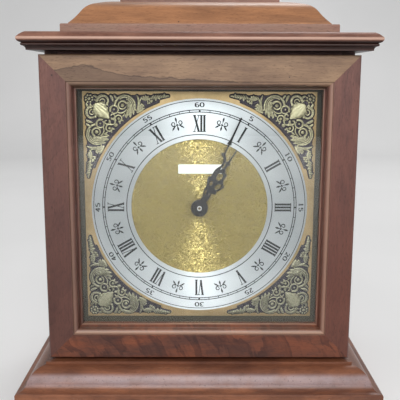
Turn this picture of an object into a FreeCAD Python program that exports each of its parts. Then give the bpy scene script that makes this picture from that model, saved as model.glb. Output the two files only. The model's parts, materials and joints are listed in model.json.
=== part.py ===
import FreeCAD, Part
import math
import os

# Bracket clock with a moulded walnut case, a glazed front door, a brass dial with a silvered
# chapter ring, and a battery movement that is reached through a door in the back.
# Millimetres. +X is to the clock's left as it looks out (the viewer's right), -Y is the front,
# +Z is up. The origin is on the table, under the middle of the base.
# Profiles are written as (out, up): out is measured outwards from the outline of the door,
# both to the sides and to the front, so the same profile serves the front and the returns.

os.makedirs("parts", exist_ok=True)

V = FreeCAD.Vector
FREE = 0.3             # gap between pieces that move past each other
RUN = 0.05             # radial clearance of a running shaft
FAR = 600.0            # longer than anything in the clock
SPARE = 10.0           # how far a cutting shape runs past what it cuts
OVERLAP = 0.1          # how far a boss runs into its plate before the two are joined
QUARTER_RISE = 1 - math.sqrt(0.5)   # rise of a quarter circle over its chord, for radius 1

# ---- base ----
GLIDE_R = 9.0
GLIDE_H = 2.0
GLIDE_ROUND = 0.6
TACK_R = 1.5
TACK_L = 8.0
BASE_H = 34.0
BASE_DEPTH = 170.0
BASE_OUT = 23.2        # how far the base stands out from the door
BASE_IN = 10.0         # how far the base moulding runs in under the case
BASE_FILLET_OUT = 2.6
BASE_FILLET_H = 1.9
OGEE_START_OUT = 3.6
OGEE_START_DROP = 2.2
OGEE_WAIST_OUT = 15.4
OGEE_WAIST_DROP = 12.4
OGEE_END_OUT = 22.4
OGEE_END_DROP = 18.3
BASE_ARRIS = 0.8       # thin lip where the ogee meets the upright face
OGEE_HIGH_BULGE = 2.3
OGEE_LOW_BULGE = 1.8
BASE_BOARD_T = 12.0
REAR_RAIL_T = 12.0

# ---- door ----
FRAME_W = 25.3         # a stile or rail from the door's edge in to the glass
DOOR_T = 18.0
DOOR_LIFT = 2.1        # gap between base and door
FLAT_W = 19.4          # flat face of a stile or rail
QUIRK = 1.2            # step down beside the flat
QUIRK_W = 0.4
QUIRK_GROOVE = 0.3     # the step is cut this much deeper at its foot
BEAD_W = 3.6
BEAD_DROP = 3.4
BEAD_BULGE = 1.1
SIGHT_W = 187.0        # clear width of the glass
SIGHT_H = 185.7
SIGHT_DEPTH = 10.3     # from the door's face back to the glass
LIP_T = 1.6            # wooden lip in front of the glass
LIP_FLAT = 0.8
COVE_BULGE = 0.7
GLASS_REBATE = 4.0
GLASS_T = 2.0
GLASS_PLAY = 0.4
GLASS_BEAD_T = 3.0
GLASS_BEAD_ROUND = 1.2
EDGE_ROUND = 0.8

# ---- case ----
CASE_IN = 0.8          # the case sides stand this far in from the door's edges
SIDE_T = 10.0
CASE_REAR_IN = 4.7     # case back, measured in from the base's back
DOOR_GAP = 0.4         # between the shut door and the front edges of the case
TOP_BOARD_T = 10.0
NECK_H = 2.9           # gap between the door and the cornice

# ---- cornice, caddy and bell top ----
CORNICE_H = 13.0
CORNICE_IN = 24.0
CORNICE_FOOT_OUT = 7.0
CORNICE_FOOT_H = 0.9
CORNICE_COVE_OUT = 9.2
CORNICE_COVE_UP = 3.0
CORNICE_COVE_BULGE = 0.5
CORNICE_BEAD_OUT = 9.3
CORNICE_BEAD_UP = 5.0
CORNICE_BEAD_BULGE = 0.8
NOSE_START_OUT = 10.4
NOSE_START_UP = 5.4
NOSE_OUT = 12.6
NOSE_UP = 8.2
NOSE_UNDER_BULGE = 0.6
NOSE_BULGE = 0.3
NOSE_TOP_OUT = 11.7
NOSE_TOP_UP = 9.8
CORNICE_TOP_OUT = 7.1
CADDY_IN = 14.0
CADDY_H = 7.2
CADDY_ROUND = 1.0
BELL_H = 20.0
BELL_FOOT_IN = 19.0
BELL_FOOT_H = 0.9
BELL_FOOT_TAPER = 0.4
BELL_MID_IN = 27.9
BELL_MID_UP = 10.4
BELL_HOLLOW_BULGE = 0.4
BELL_SHOULDER_IN = 38.5
BELL_SHOULDER_UP = 17.2
BELL_ROUND_BULGE = 1.2
BELL_CROWN_BULGE = 0.5
BELL_WIDTH = 43.0      # from the foot of the bell in to its hidden edge
SLAB_IN = 54.9
SLAB_T = 8.0
SLAB_ROUND = 2.0
BELL_BACK_T = 10.0

# ---- carrying handle ----
POST_SPACING = 84.0
POST_FLANGE_R = 7.0
POST_FLANGE_H = 1.6
POST_FLANGE_RIM = 0.96
POST_COVE_H = 0.8
POST_COVE_BULGE = 0.5
POST_NECK_R = 3.0
POST_BALL_R = 4.4
POST_BALL_SINK = 2.64    # how far the neck ends below the ball's middle
POST_PIVOT_H = 8.5
POST_SCREW_R = 2.0
POST_SCREW_L = 14.0
BAIL_PIN_R = 1.6
BAIL_R = 2.5
BAIL_EYE_R = 2.875
BAIL_REACH = 36.0
BAIL_CORNER_R = 11.0
BAIL_GRIP_R = 4.2
GRIP_COLLAR_L = 3.0
GRIP_BEAD_L = 3.2
GRIP_BEAD_BULGE = 1.44
BAIL_OUTSET = 7.6      # from the post's axis out to the bail's arm

# ---- dial ----
DIAL_SETBACK = 21.8    # from the door's face back to the face of the chapter ring
RING_R = 85.75
RING_INNER_SHARE = 0.633
RING_T = 0.8
PLATE_MARGIN = 5.25    # brass outside the chapter ring where the two come closest
PLATE_T = 1.2
DIAL_BOARD_T = 6.0
CLEAT_W = 10.0
CLEAT_T = 12.0
CLEAT_INSET = 24.0
SPANDREL_EDGE = 1.5    # bare brass between spandrel and plate edge
SPANDREL_LEG = 66.5
SPANDREL_GAP = 3.2     # brass showing between spandrel and chapter ring
SPANDREL_BASE_T = 1.1
SPANDREL_TIP_IN = 2.1   # the wing's end is rounded over this length
SPANDREL_RELIEF = 1.4
SCROLL_RELIEF = 1.12
SCROLL_BEAD_SHARE = 0.75   # radius of the ball at a scroll's end, for width 1
ORNAMENT_SINK = 0.2    # how far the ornament runs into the plate of the casting
SPANDREL_SCREW_IN = 9.0
SPANDREL_SCREW_R = 1.2
# Ornament of a spandrel. Places and radii are shares of its leg, angles are degrees, widths mm.
ROSETTE = (0.063, 0.063, 0.051)
CARTOUCHE = (0.188, 0.188, 0.090)
BUDS = ((0.707, 0.084, 0.051), (0.820, 0.051, 0.036), (0.910, 0.036, 0.027))
SCROLLS = ((0.361, 0.135, 0.078, 20, 290, 2.0),
           (0.526, 0.143, 0.099, -150, 120, 2.2),
           (0.316, 0.278, 0.060, 130, 400, 1.7))

# ---- movement ----
BUSH_R = 4.0
BUSH_OUT = 0.9         # how far the bush stands out in front of the ring's face
BUSH_FIT = 0.1
NUT_FLATS = 11.0
NUT_T = 1.5
WASHER_R = 12.0
WASHER_T = 1.0
MOVEMENT_W = 57.0
MOVEMENT_WALL = 1.2
MOVEMENT_FRONT_T = 1.5
MOVEMENT_D = 16.0
COVER_T = 1.5
COVER_BOSS_H = 2.5
COVER_BOSS_R = 2.2
PIVOT_IN = 1.5         # how far a pivot runs into a boss of the cover
PIVOT_HOLE = 2.0
FRONT_PIVOT_IN = 0.9   # how far a pivot runs into the front plate
FRONT_PIVOT_HOLE = 0.975
MODULE = 0.4
ADDENDUM = 0.8         # in modules
DEDENDUM = 1.15
TOOTH_AT_ROOT = 0.27   # half the tooth's width, as a share of the pitch
TOOTH_AT_PITCH = 0.18
TOOTH_AT_TIP = 0.06
MINUTE_PINION_TEETH = 10
MINUTE_WHEEL_TEETH = 30
HOUR_PINION_TEETH = 8
HOUR_WHEEL_TEETH = 32
KNOB_PINION_TEETH = 12
MINUTE_WHEEL_DIR = 135.0   # from the centre arbor, counted up from +X
KNOB_DIR = 90.0            # from the minute wheel
WHEEL_T = 1.2
PINION_T = 1.8
HOUR_WHEEL_GAP = 0.5
TRAIN_GAP = 1.0
HOUR_TUBE_R = 2.7
HOUR_TUBE_WALL = 0.95
ARBOR_END_R = 1.1
ARBOR_SHORT = 0.9      # the arbor ends this far inside the nut
TUBE_PROUD = 0.4       # the hour tube ends this far in front of the hour hand
WHEEL_PIN_R = 0.7
KNOB_SHAFT_R = 1.2
KNOB_R = 6.0
KNOB_H = 7.0
KNOB_FLUTES = 18
KNOB_FLUTE_R = 0.55
BAY_PLAY = 0.3
BAY_TOP_WALL = 1.2
BATTERY_R = 7.1
BATTERY_L = 50.5
BATTERY_NUB_R = 2.7
BATTERY_NUB_L = 1.3
BATTERY_ROUND = 0.6
CONTACT_T = 0.4
CONTACT_W = 9.0
DIMPLE_R = 2.0
BOARD_W = 15.0
BOARD_H = 28.0
BOARD_T = 1.0
BOARD_INSET = 1.0      # from the walls of the housing
BOARD_POST_R = 1.6
BOARD_POST_IN = 2.0
COIL_R = 3.0
COIL_WIRE_R = 2.4
COIL_FLANGE_T = 1.0
COIL_OFFSET = 1.5      # from the board's middle
COIL_L = 15.0

# ---- hands ----
HAND_T = 0.5
HOUR_HAND_AHEAD = 1.9     # back of the hour hand, in front of the ring's face
MINUTE_HAND_AHEAD = 3.5   # back of the minute hand, in front of the ring's face
HOUR_HAND_L = 54.2
MINUTE_HAND_L = 78.2
HUB_DISC_R = 6.75
HOUR_COLLET_R = 3.7
HOUR_COLLET_L = 0.8
HAND_NUT_R = 1.85
HAND_NUT_T = 1.5
HOUR_ANGLE = 32.4         # clockwise from twelve: four minutes past one
MINUTE_ANGLE = 24.5

# ---- hinges, catches and the back door ----
KNUCKLE_R = 2.4
HINGE_PIN_R = 1.0
HINGE_L = 30.0
LEAF_T = 1.0
LEAF_W = 14.0
HINGE_SPREAD = 150.0      # between the middles of a door's two hinges
KNUCKLE_GAP = 0.3
KNUCKLE_SINK = 0.5        # how far the barrels stand in front of the case
PIN_HEAD_SHARE = 0.75     # of the barrel's radius
PIN_HEAD_H = 1.2
BACK_KNUCKLE_R = 1.8
BACK_PIN_R = 0.8
BACK_LEAF_T = 0.8
BACK_KNUCKLE_LIFT = 0.2
BACK_LEAF_W = 9.0
BACK_DOOR_T = 8.0
BACK_DOOR_GAP = 0.6
BACK_KNOB_R = 6.0
BACK_KNOB_H = 4.2
BACK_KNOB_NECK_R = 3.0
BACK_KNOB_NECK_H = 1.26
BACK_KNOB_RIM_UP = 2.1
BACK_KNOB_RIM_T = 0.42
BACK_KNOB_FLAT_R = 1.8
BACK_KNOB_DOME = 0.48
BACK_KNOB_STEM_R = 2.1
BACK_KNOB_STEM_L = 5.6
BACK_KNOB_IN = 14.0
MAGNET_R = 3.0
MAGNET_L = 10.0
STRIKE_R = 4.0
STRIKE_T = 0.8
STRIKE_INSET = 0.6
BLOCK_W = 9.0
BLOCK_H = 22.0
BLOCK_D = 10.0

# ---- heights and planes worked out from the sizes above ----
DOOR_W = SIGHT_W + 2 * FRAME_W
DOOR_H = SIGHT_H + 2 * FRAME_W
HALF_W = DOOR_W / 2
PLATE_W = 2 * (RING_R + PLATE_MARGIN)
BASE_TOP = GLIDE_H + BASE_H
DOOR_BOTTOM = BASE_TOP + DOOR_LIFT
DOOR_TOP = DOOR_BOTTOM + DOOR_H
DIAL_Z = DOOR_BOTTOM + DOOR_H / 2
CASE_TOP = DOOR_TOP + NECK_H
CORNICE_TOP = CASE_TOP + CORNICE_H
CADDY_TOP = CORNICE_TOP + CADDY_H
BELL_TOP = CADDY_TOP + BELL_H
SLAB_TOP = BELL_TOP + SLAB_T
BASE_REAR = BASE_DEPTH / 2
DOOR_FRONT = -BASE_DEPTH / 2 + BASE_OUT
DOOR_REAR = DOOR_FRONT + DOOR_T
CASE_FRONT = DOOR_REAR + DOOR_GAP
CASE_REAR = BASE_REAR - CASE_REAR_IN
CASE_HALF = HALF_W - CASE_IN
INNER_HALF = CASE_HALF - SIDE_T
GLASS_FRONT = DOOR_FRONT + SIGHT_DEPTH
RING_FRONT = DOOR_FRONT + DIAL_SETBACK
PLATE_FRONT = RING_FRONT + RING_T
BOARD_FRONT = PLATE_FRONT + PLATE_T
BOARD_REAR = BOARD_FRONT + DIAL_BOARD_T
MOVEMENT_FRONT = BOARD_REAR + WASHER_T
CHAMBER_FRONT = MOVEMENT_FRONT + MOVEMENT_FRONT_T
MOVEMENT_REAR = MOVEMENT_FRONT + MOVEMENT_D
COVER_REAR = MOVEMENT_REAR + COVER_T
HOUR_WHEEL_Y = CHAMBER_FRONT + HOUR_WHEEL_GAP
HOUR_PINION_Y = CHAMBER_FRONT + FREE
TRAIN_Y = HOUR_PINION_Y + PINION_T + TRAIN_GAP
HAND_NUT_REAR = RING_FRONT - MINUTE_HAND_AHEAD - HAND_T
COVER_BOSS_FRONT = MOVEMENT_REAR - COVER_BOSS_H
MAIN_CENTRES = MODULE * (MINUTE_PINION_TEETH + MINUTE_WHEEL_TEETH) / 2
KNOB_CENTRES = MODULE * (KNOB_PINION_TEETH + MINUTE_WHEEL_TEETH) / 2


# ---- basic shapes ----

def block(x0, x1, y0, y1, z0, z1):
    return Part.makeBox(x1 - x0, y1 - y0, z1 - z0, V(x0, y0, z0))


def rod(radius, start, end):
    """A round bar between two points."""
    return Part.makeCylinder(radius, (end - start).Length, start, end - start)


def tube(outer, inner, start, end):
    return rod(outer, start, end).cut(rod(inner, start, end))


def bulged(start, end, rise):
    """The middle of an arc between two profile points that stands rise to the left of the chord."""
    du = end[0] - start[0]
    dv = end[1] - start[1]
    length = math.hypot(du, dv)
    middle = ((start[0] + end[0]) / 2, (start[1] + end[1]) / 2)
    return (middle[0] - dv / length * rise, middle[1] + du / length * rise)


def profile_face(start, steps, place):
    """A closed face. A step is a point, or a point and the rise of the arc that leads to it."""
    edges = []
    here = start
    for step in steps + [start]:
        there = step[:2]
        if len(step) == 3:
            middle = bulged(here, there, step[2])
            edges.append(Part.Arc(place(here), place(middle), place(there)).toShape())
        else:
            edges.append(Part.makeLine(place(here), place(there)))
        here = there
    return Part.Face(Part.Wire(edges))


def prism(points, place, along):
    """A straight-sided solid from the corners of its end face."""
    corners = [place(point) for point in points]
    return Part.Face(Part.makePolygon(corners + corners[:1])).extrude(along)


def fuse_all(solids):
    whole = solids[0]
    for solid in solids[1:]:
        whole = whole.fuse(solid)
    return whole.removeSplitter()


def mirrored_pair(solid):
    return [solid, solid.mirror(V(0, 0, 0), V(1, 0, 0))]


def save(name, solids):
    if not isinstance(solids, list):
        solids = [solids]
    pieces = [piece for solid in solids for piece in solid.Solids]
    for piece in pieces:
        if not piece.isValid() or piece.Volume <= 0:
            print("bad solid in", name)
    shape = pieces[0] if len(pieces) == 1 else Part.makeCompound(pieces)
    shape.exportStep("parts/" + name + ".step")


# ---- mouldings that run round the front and both sides, with mitres at the front corners ----

def mitre_wedge(side):
    """The region of plan that the front member (side 0) or a side member (1 or -1) may fill."""
    apex = HALF_W + DOOR_FRONT
    if side == 0:
        corners = [(0, apex), (-FAR, apex - FAR), (FAR, apex - FAR)]
    else:
        corners = [(0, apex), (side * FAR, apex - FAR), (side * FAR, FAR), (0, FAR)]
    return prism(corners, lambda p: V(p[0], p[1], -FAR / 2), V(0, 0, 2 * FAR))


def moulding(start, steps, side, rear):
    """One member of a mitred moulding whose profile is given as (out, height)."""
    if side == 0:
        face = profile_face(start, steps, lambda p: V(-FAR / 2, DOOR_FRONT - p[0], p[1]))
        bar = face.extrude(V(FAR, 0, 0))
    else:
        face = profile_face(start, steps, lambda p: V(side * (HALF_W + p[0]), -FAR / 2, p[1]))
        bar = face.extrude(V(0, FAR / 2 + rear, 0))
    return bar.common(mitre_wedge(side))


def save_mitred(name, start, steps, rear):
    save(name + "_front", moulding(start, steps, 0, rear))
    save(name + "_left", moulding(start, steps, -1, rear))
    save(name + "_right", moulding(start, steps, 1, rear))


# ---- base ----

def glide_places():
    middle = (BASE_OUT - BASE_IN) / 2
    for x in (-HALF_W - middle, HALF_W + middle):
        for y in (DOOR_FRONT - middle, BASE_REAR - BASE_OUT):
            yield x, y


def foot_glides():
    glides = []
    for x, y in glide_places():
        disc = rod(GLIDE_R, V(x, y, 0), V(x, y, GLIDE_H))
        tack = rod(TACK_R, V(x, y, GLIDE_H), V(x, y, GLIDE_H + TACK_L))
        glides.append(disc.makeFillet(GLIDE_ROUND, [disc.Edges[2]]).fuse(tack))
    return glides


def base_profile():
    top = BASE_TOP
    steps = [(BASE_FILLET_OUT, top),
             (BASE_FILLET_OUT, top - BASE_FILLET_H),
             (OGEE_START_OUT, top - OGEE_START_DROP),
             (OGEE_WAIST_OUT, top - OGEE_WAIST_DROP, OGEE_HIGH_BULGE),
             (OGEE_END_OUT, top - OGEE_END_DROP, -OGEE_LOW_BULGE),
             (BASE_OUT, top - OGEE_END_DROP - BASE_ARRIS),
             (BASE_OUT, GLIDE_H),
             (-BASE_IN, GLIDE_H)]
    return (-BASE_IN, top), steps


def save_base():
    start, steps = base_profile()
    for name, side in (("front", 0), ("left", -1), ("right", 1)):
        member = moulding(start, steps, side, BASE_REAR)
        for x, y in glide_places():
            member = member.cut(rod(TACK_R, V(x, y, GLIDE_H), V(x, y, GLIDE_H + TACK_L)))
        save("base_moulding_" + name, member)
    half = HALF_W - BASE_IN
    front = DOOR_FRONT + BASE_IN
    board_bottom = BASE_TOP - BASE_BOARD_T
    save("base_board", block(-half, half, front, BASE_REAR, board_bottom, BASE_TOP))
    save("base_rear_rail", block(-half, half, BASE_REAR - REAR_RAIL_T, BASE_REAR, GLIDE_H, board_bottom))


# ---- door ----

def door_wedge(member):
    """The part of the door's outline that a rail or stile may fill, with its mitred ends."""
    reach = FRAME_W + SPARE
    left, right, low, high = -HALF_W, HALF_W, DOOR_BOTTOM, DOOR_TOP
    corners = {
        "top": [(left, high), (right, high), (right - reach, high - reach), (left + reach, high - reach)],
        "bottom": [(left, low), (left + reach, low + reach), (right - reach, low + reach), (right, low)],
        "left": [(left, low), (left, high), (left + reach, high - reach), (left + reach, low + reach)],
        "right": [(right, low), (right - reach, low + reach), (right - reach, high - reach), (right, high)],
    }[member]
    return prism(corners, lambda p: V(p[0], DOOR_FRONT - SPARE, p[1]), V(0, DOOR_T + 2 * SPARE, 0))


def door_bar(start, steps, member):
    """A bar along one side of the door, from a profile of (in from the edge, back from the face)."""
    def place(p):
        y = DOOR_FRONT + p[1]
        if member == "top":
            return V(-FAR / 2, y, DOOR_TOP - p[0])
        if member == "bottom":
            return V(-FAR / 2, y, DOOR_BOTTOM + p[0])
        if member == "left":
            return V(-HALF_W + p[0], y, 0)
        return V(HALF_W - p[0], y, 0)
    along = V(FAR, 0, 0) if member in ("top", "bottom") else V(0, 0, FAR)
    return profile_face(start, steps, place).extrude(along).common(door_wedge(member))


def door_member(member):
    """A rail or stile: flat face, quirk, bead, cove, lip and the rebate for the glass."""
    bead_in = FLAT_W + QUIRK_W
    bead_end = (bead_in + BEAD_W, QUIRK + BEAD_DROP)
    lip_front = SIGHT_DEPTH - LIP_T
    steps = [(FLAT_W, 0.0),
             (FLAT_W, QUIRK + QUIRK_GROOVE),
             (bead_in, QUIRK),
             (bead_end[0], bead_end[1], -BEAD_BULGE),
             (FRAME_W - LIP_FLAT, lip_front, COVE_BULGE),
             (FRAME_W, lip_front),
             (FRAME_W, SIGHT_DEPTH),
             (FRAME_W - GLASS_REBATE, SIGHT_DEPTH),
             (FRAME_W - GLASS_REBATE, DOOR_T),
             (0.0, DOOR_T),
             (0.0, EDGE_ROUND)]
    return door_bar((EDGE_ROUND, 0.0), steps, member)


def door_glass():
    play = GLASS_REBATE - GLASS_PLAY
    half = SIGHT_W / 2 + play
    low = DOOR_BOTTOM + FRAME_W - play
    high = DOOR_TOP - FRAME_W + play
    return block(-half, half, GLASS_FRONT, GLASS_FRONT + GLASS_T, low, high)


def glass_bead(member):
    """A small mitred strip, rounded on its inner edge, that keeps the glass in its rebate."""
    wall = FRAME_W - GLASS_REBATE
    front = SIGHT_DEPTH + GLASS_T
    rear = front + GLASS_BEAD_T
    steps = [(FRAME_W, front),
             (FRAME_W, rear - GLASS_BEAD_ROUND),
             (FRAME_W - GLASS_BEAD_ROUND, rear, QUARTER_RISE * GLASS_BEAD_ROUND),
             (wall, rear)]
    return door_bar((wall, front), steps, member)


def save_door():
    hinge_room = fuse_all([rod(KNUCKLE_R + FREE, V(DOOR_AXIS_X, DOOR_AXIS_Y, z - HINGE_L / 2 - FREE),
                               V(DOOR_AXIS_X, DOOR_AXIS_Y, z + HINGE_L / 2 + FREE))
                           for z in hinge_heights()])
    save("door_rail_top", door_member("top"))
    save("door_rail_bottom", door_member("bottom"))
    strike = strike_disc()
    save("door_stile_left", door_member("left").cut(strike))
    stile = door_member("right").cut(hinge_room)
    for z in hinge_heights():
        stile = stile.cut(door_leaf_plate(z))
    save("door_stile_right", stile)
    save("door_glass", door_glass())
    save("glass_beads", [glass_bead(member) for member in ("top", "bottom", "left", "right")])
    save("door_strike", strike)


# ---- hinges ----

DOOR_AXIS_X = CASE_HALF + KNUCKLE_R + FREE
DOOR_AXIS_Y = CASE_FRONT + KNUCKLE_R - KNUCKLE_SINK
BACK_AXIS_X = INNER_HALF - BACK_DOOR_GAP / 2
BACK_AXIS_Y = CASE_REAR + BACK_KNUCKLE_R + BACK_KNUCKLE_LIFT


def hinge_heights():
    return (DIAL_Z - HINGE_SPREAD / 2, DIAL_Z + HINGE_SPREAD / 2)


def knuckles(x, y, z, radius, pin, own):
    """The barrels of one leaf: three equal knuckles, the middle one on the case's leaf."""
    third = HINGE_L / 3
    half = HINGE_L / 2
    spans = [(-third / 2, third / 2)] if own == "case" else [(-half, -third / 2), (third / 2, half)]
    barrels = []
    for low, high in spans:
        trim_low = KNUCKLE_GAP / 2 if low > -half else 0
        trim_high = KNUCKLE_GAP / 2 if high < half else 0
        barrels.append(tube(radius, pin, V(x, y, z + low + trim_low), V(x, y, z + high - trim_high)))
    return barrels


def leaf_with_knuckles(plate, x, y, z, radius, pin, own):
    """A leaf whose plate is cut back round the other leaf's barrels."""
    third = HINGE_L / 3
    reach = third / 2 + KNUCKLE_GAP / 2
    clear = rod(radius + FREE, V(x, y, z - reach), V(x, y, z + reach))
    if own == "case":
        whole = rod(radius + FREE, V(x, y, z - HINGE_L), V(x, y, z + HINGE_L))
        clear = whole.cut(rod(radius + FREE, V(x, y, z - third / 2 + KNUCKLE_GAP / 2),
                              V(x, y, z + third / 2 - KNUCKLE_GAP / 2)))
    bore = rod(pin, V(x, y, z - HINGE_L), V(x, y, z + HINGE_L))
    return fuse_all([plate.cut(clear)] + knuckles(x, y, z, radius, pin, own)).cut(bore)


def door_leaf_plate(z):
    x = DOOR_AXIS_X
    return block(x - LEAF_W, x, DOOR_REAR - LEAF_T, DOOR_REAR, z - HINGE_L / 2, z + HINGE_L / 2)


def door_leaf(z):
    """The leaf let in flush with the back of the door, with a web that reaches its two barrels."""
    plate = door_leaf_plate(z)
    x = DOOR_AXIS_X
    web = block(x - KNUCKLE_R, x, DOOR_REAR - LEAF_T, DOOR_AXIS_Y, z - HINGE_L / 2, z + HINGE_L / 2)
    inside = rod(KNUCKLE_R, V(x, DOOR_AXIS_Y, z - HINGE_L / 2), V(x, DOOR_AXIS_Y, z + HINGE_L / 2))
    return leaf_with_knuckles(plate.fuse(web.common(inside)), x, DOOR_AXIS_Y, z, KNUCKLE_R,
                              HINGE_PIN_R + RUN, "door")


def case_leaf(z):
    """The leaf that lies on the outer face of the case side."""
    x = CASE_HALF
    plate = block(x, x + LEAF_T, DOOR_AXIS_Y, DOOR_AXIS_Y + LEAF_W, z - HINGE_L / 2, z + HINGE_L / 2)
    return leaf_with_knuckles(plate, DOOR_AXIS_X, DOOR_AXIS_Y, z, KNUCKLE_R, HINGE_PIN_R, "case")


def back_leaf(z, own):
    """A leaf of a back hinge, flat on the back of the case side or of the back door."""
    x = BACK_AXIS_X
    start, end = (x, x + BACK_LEAF_W) if own == "case" else (x - BACK_LEAF_W, x)
    plate = block(start, end, CASE_REAR, CASE_REAR + BACK_LEAF_T, z - HINGE_L / 2, z + HINGE_L / 2)
    pin = BACK_PIN_R if own == "case" else BACK_PIN_R + RUN
    return leaf_with_knuckles(plate, x, BACK_AXIS_Y, z, BACK_KNUCKLE_R, pin, own)


def hinge_pin(x, y, z, pin, radius):
    """A pin with a small button head on top of the barrels."""
    half = HINGE_L / 2
    shank = rod(pin, V(x, y, z - half), V(x, y, z + half + FREE))
    head = rod(radius * PIN_HEAD_SHARE, V(x, y, z + half + FREE), V(x, y, z + half + FREE + PIN_HEAD_H))
    return shank.fuse(head)


def save_hinges():
    heights = hinge_heights()
    save("door_hinge_leaves", [door_leaf(z) for z in heights])
    save("case_hinge_leaves", [case_leaf(z) for z in heights] + [back_leaf(z, "case") for z in heights])
    save("back_hinge_leaves", [back_leaf(z, "door") for z in heights])
    pins = [hinge_pin(DOOR_AXIS_X, DOOR_AXIS_Y, z, HINGE_PIN_R, KNUCKLE_R) for z in heights]
    pins += [hinge_pin(BACK_AXIS_X, BACK_AXIS_Y, z, BACK_PIN_R, BACK_KNUCKLE_R) for z in heights]
    save("hinge_pins", pins)


# ---- catches ----

def strike_disc():
    x = -(CASE_HALF - SIDE_T / 2)
    return rod(STRIKE_R, V(x, DOOR_REAR - STRIKE_T, DIAL_Z), V(x, DOOR_REAR, DIAL_Z))


def front_magnet():
    x = -(CASE_HALF - SIDE_T / 2)
    return rod(MAGNET_R, V(x, CASE_FRONT, DIAL_Z), V(x, CASE_FRONT + MAGNET_L, DIAL_Z))


def back_door_front():
    return CASE_REAR - BACK_DOOR_T


def back_block():
    """The magnetic catch that stops the back door, on the inside of the left case side."""
    rear = back_door_front() - FREE
    return block(-INNER_HALF, -INNER_HALF + BLOCK_W, rear - BLOCK_D, rear,
                 DIAL_Z - BLOCK_H / 2, DIAL_Z + BLOCK_H / 2)


def back_strike():
    front = back_door_front()
    left = -INNER_HALF + BACK_DOOR_GAP + STRIKE_INSET
    return block(left, left + BLOCK_W, front, front + STRIKE_T, DIAL_Z - BLOCK_H / 2, DIAL_Z + BLOCK_H / 2)


# ---- case ----

def save_case():
    right = block(INNER_HALF, CASE_HALF, CASE_FRONT, CASE_REAR, BASE_TOP, CASE_TOP)
    left = block(-CASE_HALF, -INNER_HALF, CASE_FRONT, CASE_REAR, BASE_TOP, CASE_TOP)
    save("side_panel_right", right)
    save("side_panel_left", left.cut(front_magnet()))
    save("top_board", block(-INNER_HALF, INNER_HALF, CASE_FRONT, CASE_REAR, CASE_TOP - TOP_BOARD_T, CASE_TOP))
    save("door_catches", [front_magnet(), back_block()])


def back_door():
    gap = BACK_DOOR_GAP
    panel = block(-INNER_HALF + gap, BACK_AXIS_X - gap / 2, back_door_front(), CASE_REAR,
                  BASE_TOP + gap, CASE_TOP - TOP_BOARD_T - gap)
    return panel.cut(back_strike()).cut(back_knob_stem())


def back_knob_place():
    return V(-INNER_HALF + BACK_KNOB_IN, CASE_REAR, DIAL_Z)


def back_knob_stem():
    middle = back_knob_place()
    return rod(BACK_KNOB_STEM_R, middle - V(0, BACK_KNOB_STEM_L, 0), middle)


def back_knob():
    """A turned knob: a short neck under a low domed head, with its stem in the door."""
    middle = back_knob_place()
    steps = [(BACK_KNOB_NECK_R, 0.0),
             (BACK_KNOB_NECK_R, BACK_KNOB_NECK_H),
             (BACK_KNOB_R, BACK_KNOB_RIM_UP),
             (BACK_KNOB_R, BACK_KNOB_RIM_UP + BACK_KNOB_RIM_T),
             (BACK_KNOB_FLAT_R, BACK_KNOB_H, -BACK_KNOB_DOME),
             (0.0, BACK_KNOB_H)]
    face = profile_face((0.0, 0.0), steps, lambda p: middle + V(p[0], p[1], 0))
    return face.revolve(middle, V(0, 1, 0), 360).fuse(back_knob_stem())


def save_back():
    save("back_door", back_door())
    save("back_knob", back_knob())
    save("back_strike", back_strike())


# ---- top ----

def cornice_profile():
    z = CASE_TOP
    steps = [(CORNICE_FOOT_OUT, z),
             (CORNICE_FOOT_OUT, z + CORNICE_FOOT_H),
             (CORNICE_COVE_OUT, z + CORNICE_COVE_UP, CORNICE_COVE_BULGE),
             (CORNICE_BEAD_OUT, z + CORNICE_BEAD_UP, -CORNICE_BEAD_BULGE),
             (NOSE_START_OUT, z + NOSE_START_UP),
             (NOSE_OUT, z + NOSE_UP, -NOSE_UNDER_BULGE),
             (NOSE_TOP_OUT, z + NOSE_TOP_UP, -NOSE_BULGE),
             (CORNICE_TOP_OUT, z + CORNICE_H, -NOSE_BULGE),
             (-CORNICE_IN, z + CORNICE_H)]
    return (-CORNICE_IN, z), steps


def bell_profile():
    z = CADDY_TOP
    inner = -BELL_FOOT_IN - BELL_WIDTH
    steps = [(-BELL_FOOT_IN, z),
             (-BELL_FOOT_IN - BELL_FOOT_TAPER, z + BELL_FOOT_H),
             (-BELL_MID_IN, z + BELL_MID_UP, BELL_HOLLOW_BULGE),
             (-BELL_SHOULDER_IN, z + BELL_SHOULDER_UP, -BELL_ROUND_BULGE),
             (-SLAB_IN, z + BELL_H, -BELL_CROWN_BULGE),
             (inner, z + BELL_H)]
    return (inner, z), steps


def rounded_slab(inset, low, high, radius):
    """A board that follows the door's outline at an inset, its top edges rounded on three sides."""
    half = HALF_W - inset
    board = block(-half, half, DOOR_FRONT + inset, CASE_REAR, low, high)
    edges = []
    for edge in board.Edges:
        middle = edge.CenterOfMass
        if abs(middle.z - high) < 0.01 and abs(middle.y - CASE_REAR) > 0.01:
            edges.append(edge)
    return board.makeFillet(radius, edges)


def save_top():
    start, steps = cornice_profile()
    save_mitred("cornice", start, steps, CASE_REAR)
    half = HALF_W - CORNICE_IN
    save("cornice_board", block(-half, half, DOOR_FRONT + CORNICE_IN, CASE_REAR, CASE_TOP, CORNICE_TOP))
    save("caddy_plinth", rounded_slab(CADDY_IN, CORNICE_TOP, CADDY_TOP, CADDY_ROUND))
    start, steps = bell_profile()
    save_mitred("bell", start, steps, CASE_REAR)
    half = HALF_W - BELL_FOOT_IN - BELL_WIDTH
    save("bell_back_board", block(-half, half, CASE_REAR - BELL_BACK_T, CASE_REAR, CADDY_TOP, BELL_TOP))
    slab = rounded_slab(SLAB_IN, BELL_TOP, SLAB_TOP, SLAB_ROUND)
    for post in handle_posts():
        slab = slab.cut(post)
    save("top_slab", slab)


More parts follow.
